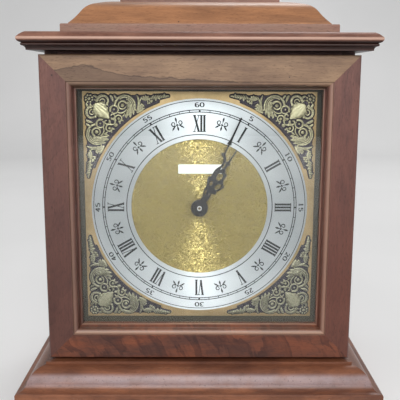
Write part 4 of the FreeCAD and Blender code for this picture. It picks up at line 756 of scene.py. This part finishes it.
def draw_lilies(heap):
    """The lily between the hours: a bud, a knot under it, two curls beside it and three petals that swell
    to their ends. A curl is a spiral whose radius shrinks evenly with its turn."""
    bud = 0.10 + 0.62 * np.sin(np.pi * np.linspace(0.0, 1.0, 14) ** 1.9) ** 1.2
    strokes = [(line((0, 0.2), (0, 5.9), 14), bud)]
    swell_late = 0.12 + 0.5 * np.sin(np.pi * np.linspace(0.0, 1.0, 12) ** 1.8) ** 1.3
    strokes.append((line((-0.9, -0.2), (0.9, -0.2), 8), 0.55))
    curl = spiral((2.65, 1.15), 1.85, 0.80, -125, 250, 36)
    for side in (-1, 1):
        strokes.append((curl * [side, 1], np.linspace(0.46, 0.24, len(curl))))
        share = np.linspace(0, 1, 12)
        petal = np.stack([side * 4.8 * share ** 0.9, -0.3 - 3.5 * share ** 1.5], 1)
        strokes.append((petal, swell_late))
    strokes.append((line((0, 0.4), (0, -4.9), 12), swell_late * 1.15))
    for hour in range(12):
        for path, half in strokes:
            band(heap, on_ring(path, 30 * hour + 15, LILY_MIDDLE * RING_R), half * MM)


def ring_print():
    heap = Heap()
    draw_numerals(heap)
    draw_figures(heap)
    draw_track(heap)
    draw_lilies(heap)
    ink = moulded("dial_ink", (16, 18, 22), 0.6, 0.15)
    piece("ring_print", heap.mesh("ring_print"), "hand_black", finish=ink, smooth=False)


ring_print()


# ---- the bare plate below twelve ----

BADGE_W = 34.5 * MM
BADGE_H = 7.2 * MM
BADGE_T = 0.5 * MM
BADGE_X = 0.5 * MM
BADGE_UP = 30.6 * MM
BADGE_CORNER = 0.6 * MM
BADGE_EDGE = 0.12 * MM


def rounded_outline(half_w, half_h, corner):
    """Points round a rectangle whose four corners are quarter circles."""
    points = []
    for quarter, (sx, sz) in enumerate(((1, 1), (-1, 1), (-1, -1), (1, -1))):
        middle = (sx * (half_w - corner), sz * (half_h - corner))
        points.append(arc(middle, (corner, corner), 90 * quarter, 90 * quarter + 90, 8))
    return np.concatenate(points)


def badge():
    """A thin white enamelled plate with an eased edge."""
    rings = []
    for inset, ahead in ((0, 0), (0, BADGE_T - BADGE_EDGE), (0.4 * BADGE_EDGE, BADGE_T - 0.3 * BADGE_EDGE),
                         (BADGE_EDGE, BADGE_T)):
        outline = rounded_outline(BADGE_W / 2 - inset, BADGE_H / 2 - inset, BADGE_CORNER - inset)
        y = np.full(len(outline), PLATE_FACE - ahead)
        rings.append(np.stack([DIAL_X + BADGE_X + outline[:, 0], y, DIAL_Z + BADGE_UP + outline[:, 1]], 1))
    heap = Heap()
    heap.grid(np.stack(rings))
    enamel = moulded("badge_enamel", (238, 240, 240), 0.22)
    piece("bare_badge", heap.mesh("bare_badge"), "white_plastic", finish=enamel, smooth=False)


badge()


# ---- the cast corner ornaments ----
# Drawn in millimetres in from the casting's outer corner: a along one edge, b along the other.
# One wing is drawn; the other is its mirror image in the diagonal.

CASTING_LEG = (casting_high.x - casting_low.x) / MM
CASTING_REACH = (casting_high.x - DIAL_X) / MM
CASTING_RELIEF = (casting_high.y - casting_low.y) / MM
CASTING_STEP = 0.28
CASTING_FLOOR = 0.75
CASTING_RIM = 0.9          # how far the floor runs out past the ornament
CASTING_SINK = 0.15        # the edge dips this far into the dial plate
GROUND_IN = 1.2            # the plain ground starts this far in from the two straight edges
GROUND_END = CASTING_LEG - 8
RING_CLEAR = 2.2
LAUREL_CLEAR = 4.9
VEIN_HALF = 0.25


def relief(a, b, path, width, kind):
    """Height of one stroke from 0 to 1, and how far each point lies inside its outline."""
    path = np.asarray(path, float)
    width = np.broadcast_to(np.asarray(width, float), len(path))
    distance = np.hypot(a[None] - path[:, 0, None, None], b[None] - path[:, 1, None, None])
    inside = width[:, None, None] - distance
    nearest = inside.argmax(0)
    reach = np.take_along_axis(inside, nearest[None], 0)[0]
    away = 1 - reach / width[nearest]
    body = np.clip(1 - away ** 2, 0, 1)
    if kind == "round":
        return body ** 0.4, reach
    vein = np.exp(-(away * width[nearest] / VEIN_HALF) ** 2)
    barbs = 0.5 + 0.5 * np.cos(2 * np.pi * (nearest / 3.5) + 4.0 * away)
    return body ** 0.3 * (1 - 0.30 * vein - 0.22 * barbs * np.clip(away * 2, 0, 1)), reach


def polar(centre, radius, degrees):
    """The point at a radius from a centre, turned by degrees from the first axis to the second."""
    turn = math.radians(degrees)
    return np.array([centre[0] + radius * math.cos(turn), centre[1] + radius * math.sin(turn)])


def bent(start, middle, end, count=16):
    """A curve from start to end that leans towards the middle point."""
    share = np.linspace(0, 1, count)[:, None]
    start, middle, end = (np.asarray(point, float) for point in (start, middle, end))
    return start * (1 - share) ** 2 + 2 * middle * share * (1 - share) + end * share ** 2


def swell(count, most, start=0.12, end=0.98):
    """Half widths of a leaf: small, full, small."""
    return most * np.sin(np.pi * np.linspace(start, end, count)) ** 0.75


def wing_features():
    """The ornament of one wing as (path, half width, height, kind)."""
    features = []

    def ball(centre, radius, height=1.0):
        features.append((np.array([centre]), radius, height, "round"))

    def curl(centre, radius, end_radius, start, end, width, height=1.0, kind="round"):
        path = spiral(centre, radius, end_radius, start, end)
        features.append((path, width * np.linspace(1.15, 0.6, len(path)), height, kind))

    def leaf(start, middle, end, most, height=0.95, fullest=(0.12, 0.98)):
        path = bent(start, middle, end)
        features.append((path, swell(len(path), most, *fullest), height, "leaf"))

    # rosette in the corner, with eight petals
    ball((3.9, 4.1), 1.3)
    for petal in range(8):
        ball(polar((3.9, 4.1), 2.7, 45 * petal + 22), 0.85, 0.8)
    # leaves between rosette and crescent
    leaf((7.6, 1.9), (10.4, 1.8), (11.4, 5.6), 1.0)
    leaf((8.0, 5.0), (10.0, 4.6), (10.6, 8.2), 0.8, 0.85)
    ball((9.0, 7.6), 0.7, 0.8)
    # crescent with its ball
    curl((14.9, 5.9), 4.5, 3.5, -165, 70, 1.15, 1.0, "leaf")
    curl((14.6, 6.2), 2.3, 1.4, -170, 60, 0.6, 0.85)
    ball((18.0, 8.7), 1.0)
    leaf((20.6, 1.6), (22.0, 3.0), (22.6, 6.6), 1.1)
    leaf((23.4, 1.4), (24.6, 2.4), (25.4, 5.0), 0.9, 0.85)
    # ring beside the cartouche, and the curl under it
    curl((23.4, 12.4), 3.3, 2.8, -200, 130, 0.85)
    ball((23.2, 12.2), 0.8, 0.85)
    curl((21.9, 17.3), 2.2, 1.1, 110, -170, 0.75)
    features.append((bent((26.0, 14.4), (29.4, 16.4), (32.8, 12.6)), 0.6, 0.9, "round"))
    # volute round a ball
    ball((29.7, 9.2), 1.5)
    curl((29.7, 9.2), 3.4, 2.7, -30, -330, 0.85)
    # scroll of three strands over the large leaf
    curl((31.8, 9.5), 8.0, 7.5, -178, 60, 0.95, 1.0, "leaf")
    curl((31.8, 9.5), 6.5, 6.3, -125, 52, 0.6, 0.95)
    curl((31.8, 9.5), 5.2, 5.2, -75, 44, 0.5, 0.85)
    leaf((34.4, 7.4), (36.0, 11.0), (35.6, 18.2), 2.3, 1.0, (0.22, 0.96))
    leaf((34.6, 12.0), (33.2, 14.4), (33.4, 17.8), 1.1)
    leaf((36.6, 11.4), (38.4, 13.0), (38.2, 16.4), 1.0)
    # scroll with a ball, next to the ring
    ball((26.6, 19.3), 1.1)
    curl((26.6, 19.3), 2.8, 2.4, -210, 90, 0.7)
    leaf((29.8, 17.6), (31.0, 16.6), (31.6, 14.8), 0.7, 0.8)
    # upright strands and the spray
    leaf((41.0, 1.6), (44.0, 6.6), (39.8, 15.4), 0.95)
    leaf((44.8, 2.6), (42.2, 6.8), (41.0, 13.0), 0.7, 0.85)
    for number in range(5):
        heading, length = -72 + 14 * number, 8.8 - 0.55 * number
        leaf((40.8, 15.0), polar((40.4, 13.6), 0.6 * length, heading), polar((40.8, 15.0), length, heading),
             0.95, 0.95, (0.05, 0.98))
    # bud of five leaves, beads, and the ribbed leaf at the tip
    for heading in range(-158, 12, 34):
        leaf((47.8, 5.2), polar((47.8, 4.9), 2, heading), polar((47.8, 5.2), 3.6, heading),
             0.95, 0.9, (0.1, 0.9))
    ball((50.6, 7.2), 0.95, 0.9)
    ball((52.6, 5.5), 0.85, 0.85)
    leaf((51.4, 3.8), (57.0, 2.4), (65.2, 1.9), 1.7, 0.55, (0.16, 0.90))
    for rib in range(7):
        along = 52.4 + 1.75 * rib
        leaf((along, 4.2 - 0.26 * rib), (along + 0.4, 2.8), (along + 1.8, 1.1), 0.62 - 0.03 * rib, 1.0)
    # laurel along the chapter ring
    border = RING_R / MM + LAUREL_CLEAR
    for number in range(13):
        turn = 47 + 2.1 * number
        foot = polar((CASTING_REACH, CASTING_REACH), -border, turn)
        tip = polar(foot, -3.0, turn + 24 * (-1) ** number)
        leaf(foot, (foot + tip) / 2, tip, 0.72, 0.9, (0.10, 0.95))
    # knot where the wings meet
    ball((24.3, 24.3), 1.5)
    curl((21.6, 21.8), 2.3, 1.5, 40, 200, 0.65, 0.9)
    return features


CARTOUCHE_START = 11.4     # along the diagonal from the corner
CARTOUCHE_LENGTH = 16.2
CARTOUCHE_HALF = 6.6
CARTOUCHE_FAN = 5.0        # its ribs run out from a point this far before its start


def cartouche(a, b):
    """The broad shell on the diagonal: blunt outside, pointed inwards, with lobes and radiating ribs."""
    along = (a + b) / math.sqrt(2) - CARTOUCHE_START
    across = (a - b) / math.sqrt(2)
    share = np.clip(along / CARTOUCHE_LENGTH, 0, 1)
    half = CARTOUCHE_HALF * np.minimum.reduce([np.ones_like(share), (share / 0.22) ** 0.7,
                                               ((1 - share) / 0.55) ** 0.8])
    half = half * (1 + 0.07 * np.cos(2 * np.pi * 5 * share))
    body = np.clip(1 - (across / np.maximum(half, 0.01)) ** 4, 0, 1)
    heading = np.arctan2(across, along + CARTOUCHE_FAN)
    ribs = 0.5 + 0.5 * np.cos(heading * 30)
    return np.sqrt(body) * (half > 0.4) * (0.93 + 0.07 * ribs)


def blurred(field, cells):
    """Mean over a square window, by running sums down the rows of the square field and of its turn."""
    for _ in range(2):
        total = np.cumsum(np.pad(field, ((cells, cells + 1), (0, 0)), "edge"), 0)
        field = (total[2 * cells:2 * cells + len(field)] - total[:len(field)]).T / (2 * cells)
    return field


def casting_field():
    """Height of the casting over the plate, and how much it is rubbed, on a square grid."""
    count = int((CASTING_LEG + 2 * CASTING_RIM) / CASTING_STEP)
    axis = np.arange(count) * CASTING_STEP - CASTING_RIM
    a, b = np.meshgrid(axis, axis, indexing="ij")
    ornament = np.zeros_like(a)
    spread = np.full_like(a, -9.0)
    for path, width, height, kind in wing_features():
        bulge, reach = relief(a, b, path, width, kind)
        ornament = np.maximum(ornament, height * bulge)
        spread = np.maximum(spread, reach)
    shell = cartouche(a, b)
    ornament = np.maximum(np.maximum(ornament, ornament.T), 0.97 * shell)
    spread = np.maximum(spread, spread.T)
    to_ring = np.hypot(CASTING_REACH - a, CASTING_REACH - b) - RING_R / MM
    ground = np.minimum.reduce([a - GROUND_IN, b - GROUND_IN, to_ring - RING_CLEAR,
                                GROUND_END - a, GROUND_END - b])
    edge = np.maximum(spread + CASTING_RIM, ground)
    edge = np.minimum(edge, to_ring - RING_CLEAR)
    floor = np.clip(edge / 0.4, -CASTING_SINK / CASTING_FLOOR, 1.0) * CASTING_FLOOR
    height = floor + np.clip(ornament, 0, 1) * (CASTING_RELIEF - CASTING_FLOOR) * (edge > 0.2)
    proud = height - blurred(height, int(1.1 / CASTING_STEP))
    rub = np.clip(0.50 + 0.70 * proud, 0, 1) * np.clip(ornament * 2.2, 0, 1)
    rub = np.maximum(rub, np.clip(shell * 2.4 - 1.55, 0, 0.72))
    return a, b, height, rub, edge


def castings():
    """Front from the height field, back flat inside the plate, and a wall round the outline."""
    a, b, height, rub, edge = casting_field()
    rows, columns = a.shape
    kept = edge > -0.30
    cell = kept[:-1, :-1] | kept[1:, :-1] | kept[:-1, 1:] | kept[1:, 1:]
    row, column = np.nonzero(cell)
    corner = row * columns + column
    front = np.stack([corner, corner + 1, corner + columns + 1, corner + columns], 1)
    size = rows * columns
    back = front[:, ::-1] + size
    # an edge that only one kept cell uses gets a wall
    sides = np.concatenate([front[:, [0, 1]], front[:, [1, 2]], front[:, [2, 3]], front[:, [3, 0]]])
    keys = np.sort(sides, 1)
    _, inverse, uses = np.unique(keys[:, 0] * size + keys[:, 1], return_inverse=True, return_counts=True)
    rim = sides[uses[inverse.reshape(-1)] == 1]
    wall = np.stack([rim[:, 1], rim[:, 0], rim[:, 0] + size, rim[:, 1] + size], 1)
    used, faces = np.unique(np.concatenate([front, back, wall]), return_inverse=True)
    faces = faces.reshape(-1, 4).tolist()
    ahead = np.concatenate([height.ravel(), np.full(size, -3 * CASTING_SINK)])
    right = CASTING_REACH - np.tile(a.ravel(), 2)
    up = CASTING_REACH - np.tile(b.ravel(), 2)
    for turns, corner_name in enumerate(("top_right", "bottom_right", "bottom_left", "top_left")):
        angle = math.pi / 2 * turns
        x = DIAL_X + (right * math.cos(angle) + up * math.sin(angle)) * MM
        z = DIAL_Z + (up * math.cos(angle) - right * math.sin(angle)) * MM
        points = np.stack([x, PLATE_FACE - ahead * MM, z], 1)[used]
        mesh = bpy.data.meshes.new("casting_" + corner_name)
        mesh.from_pydata(points.tolist(), [], faces)
        layer = mesh.attributes.new("rub", "FLOAT", "POINT")
        layer.data.foreach_set("value", np.tile(rub.ravel(), 2)[used].astype(np.float32))
        casting = piece("casting_" + corner_name, mesh, "antique_brass")
        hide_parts("spandrel_" + corner_name)


castings()


# ---- the screws of the hinges ----

SCREW_R = 1.9 * MM
SCREW_DOME = 0.12 * MM
SCREW_LEDGE = 0.04 * MM    # the rim's height over the leaf
SCREW_BODY = 0.45 * MM     # how deep the shell goes into the leaf
SLOT_HALF = 0.15           # share of the head's radius
SLOT_DEPTH = 0.32 * MM
SCREW_STEP = 10.0 * MM     # between the screws of one leaf
HINGE_UP = 75.0 * MM       # from the dial's centre to the middle of a hinge
CASE_LEAF_T = 1.0 * MM
CASE_LEAF_ROW = 11.0 * MM  # from the front of the barrel to the row of screws
DOOR_LEAF_ROW = 5.0 * MM   # from the leaf's free edge
BACK_LEAF_T = 0.8 * MM
BACK_BARREL_R = 1.8 * MM
BACK_LEAF_ROW = 5.4 * MM   # from the barrel's axis


def screw_head(heap, place, outward, slot_turn):
    """A slotted head: rows across the slot, u from -1 to 1, each a flat loop as wide as sqrt(1 - u^2);
    height = ledge + dome x (1 - r^2), less the slot's depth where |u| is within the slot."""
    upward, outward = np.array((0.0, 0.0, 1.0)), np.array(outward, float)
    side = np.linspace(SLOT_HALF, 1, 9)
    across = np.concatenate([-side[::-1], [-SLOT_HALF, SLOT_HALF], side])[:, None]
    in_slot = np.zeros_like(across)
    in_slot[len(side):len(side) + 2] = 1
    chord = np.sqrt(np.clip(1 - across ** 2, 0, 1)) * np.linspace(-1, 1, 13)
    top = SCREW_LEDGE + SCREW_DOME * (1 - across ** 2 - chord ** 2) - SLOT_DEPTH * in_slot
    chord = np.concatenate([chord, chord[:, ::-1]], axis=1)
    height = np.concatenate([top, np.full_like(top, -SCREW_BODY)], axis=1)
    level = SCREW_R * (across * np.cos(slot_turn) - chord * np.sin(slot_turn))
    upright = SCREW_R * (across * np.sin(slot_turn) + chord * np.cos(slot_turn))
    heap.grid(np.array(place, float) + level[..., None] * np.cross(upward, outward)
              + upright[..., None] * upward + height[..., None] * outward)


def hinge_screws():
    """Three screws in each leaf, one at each third of its height, each slot turned its own way."""
    side_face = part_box("side_panel_right")[1].x + CASE_LEAF_T
    side_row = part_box("case_hinge_leaves")[0].y + CASE_LEAF_ROW
    back_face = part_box("back_door")[1].y + BACK_LEAF_T
    back_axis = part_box("back_hinge_leaves")[1].x - BACK_BARREL_R
    door_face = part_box("door_stile_right")[1].y
    door_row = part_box("door_hinge_leaves")[0].x + DOOR_LEAF_ROW
    leaves_on = {
        "case": [(side_face, side_row, (1, 0, 0)), (back_axis + BACK_LEAF_ROW, back_face, (0, 1, 0))],
        "front_door": [(door_row, door_face, (0, 1, 0))],
        "rear_door": [(back_axis - BACK_LEAF_ROW, back_face, (0, 1, 0))],
    }
    for body, leaves in leaves_on.items():
        heap = Heap()
        for number, (x, y, outward) in enumerate(leaves):
            for height in (-HINGE_UP, HINGE_UP):
                for step in (-1, 0, 1):
                    place = (x, y, DIAL_Z + height + step * SCREW_STEP)
                    screw_head(heap, place, outward, 1.1 * step + number + height * 20)
        name = "hinge_screws_" + body
        piece(name, heap.mesh(name), "brass", body=body, smooth=False)


hinge_screws()


# ---- stage, light and camera ----

STAGE_HALF = 3.0
STAGE_FRONT = -2.5
STAGE_BACK = 1.6
STAGE_BEND = 0.7
STAGE_TOP = 3.0


def studio_sheet():
    """A pale sheet: flat floor, a quarter circle up, and an upright back, carried along X."""
    turn = np.linspace(0, math.pi / 2, 24)
    y = np.concatenate([[STAGE_FRONT], STAGE_BACK + STAGE_BEND * np.sin(turn), [STAGE_BACK + STAGE_BEND]])
    z = np.concatenate([[0.0], STAGE_BEND * (1 - np.cos(turn)), [STAGE_TOP]])
    points = np.stack([np.stack([np.full_like(y, x), y, z], 1) for x in (-STAGE_HALF, STAGE_HALF)], 1)
    count = len(y)
    first = np.arange(count - 1) * 2
    faces = np.stack([first, first + 1, first + 3, first + 2], 1)
    mesh = bpy.data.meshes.new("studio_sheet")
    mesh.from_pydata(points.reshape(-1, 3).tolist(), [], faces.tolist())
    smoothed(mesh)
    paper = Finish("studio_paper", Roughness=0.9, Specular_IOR_Level=0.1)
    rays = paper.add("ShaderNodeLightPath").outputs
    seen = paper.reckon("MAXIMUM", rays["Is Camera Ray"], rays["Is Glossy Ray"])
    seen = paper.reckon("MAXIMUM", seen, rays["Is Transmission Ray"])
    cloud = paper.noise(paper.place, 3.0)
    mottled = paper.cloudy(cloud, (247, 247, 247), (252, 252, 252))
    paper.give("Base Color", paper.mix(seen, colour(190, 190, 190), mottled))
    mesh.materials.append(paper.material)
    stand("studio_sheet", mesh)


studio_sheet()


def soft_lamp(name, place, aim, size, power):
    """An oblong lamp that faces the point it is aimed at."""
    lamp = bpy.data.lights.new(name, "AREA")
    lamp.shape = "RECTANGLE"
    lamp.size, lamp.size_y = size
    lamp.energy = power
    thing = stand(name, lamp)
    thing.location = place
    thing.rotation_euler = (Vector(aim) - Vector(place)).to_track_quat("-Z", "Y").to_euler()


soft_lamp("lamp_main", (0.0, -1.9, 1.35), (0, 0, 0.17), (0.7, 1.1), 28.0)
soft_lamp("lamp_low", (0.0, -2.1, 0.64), (0, 0, 0.17), (1.7, 0.6), 8.0)
soft_lamp("lamp_back", (0.5, 1.5, 1.8), (0, 0, 0.15), (1.2, 0.8), 14.0)
soft_lamp("lamp_left", (-1.9, -0.9, 1.2), (0, 0, 0.15), (0.9, 1.2), 4.0)
soft_lamp("lamp_right", (1.9, -0.9, 1.2), (0, 0, 0.15), (0.9, 1.2), 4.0)

AIR_STRENGTH = 0.30
world = bpy.data.worlds.new("studio_air")
bpy.context.scene.world = world
world.use_nodes = True
air = world.node_tree.nodes["Background"].inputs
air["Color"].default_value = (1.0, 1.0, 1.0, 1.0)
air["Strength"].default_value = AIR_STRENGTH


def photo_camera():
    """A camera that is rolled about its view, then pitched down from level, then turned to the right."""
    data = bpy.data.cameras.new("photo_camera")
    data.lens = CAMERA_LENS
    data.sensor_width = CAMERA_SENSOR
    data.clip_start = 0.02
    thing = stand("photo_camera", data)
    thing.matrix_world = (Matrix.Translation(Vector(CAMERA_PLACE) * MM)
                          @ Matrix.Rotation(-math.radians(CAMERA_YAW), 4, "Z")
                          @ Matrix.Rotation(math.radians(90 - CAMERA_PITCH), 4, "X")
                          @ Matrix.Rotation(math.radians(CAMERA_ROLL), 4, "Z"))
    bpy.context.scene.camera = thing


photo_camera()
bpy.context.scene.view_settings.view_transform = "Standard"
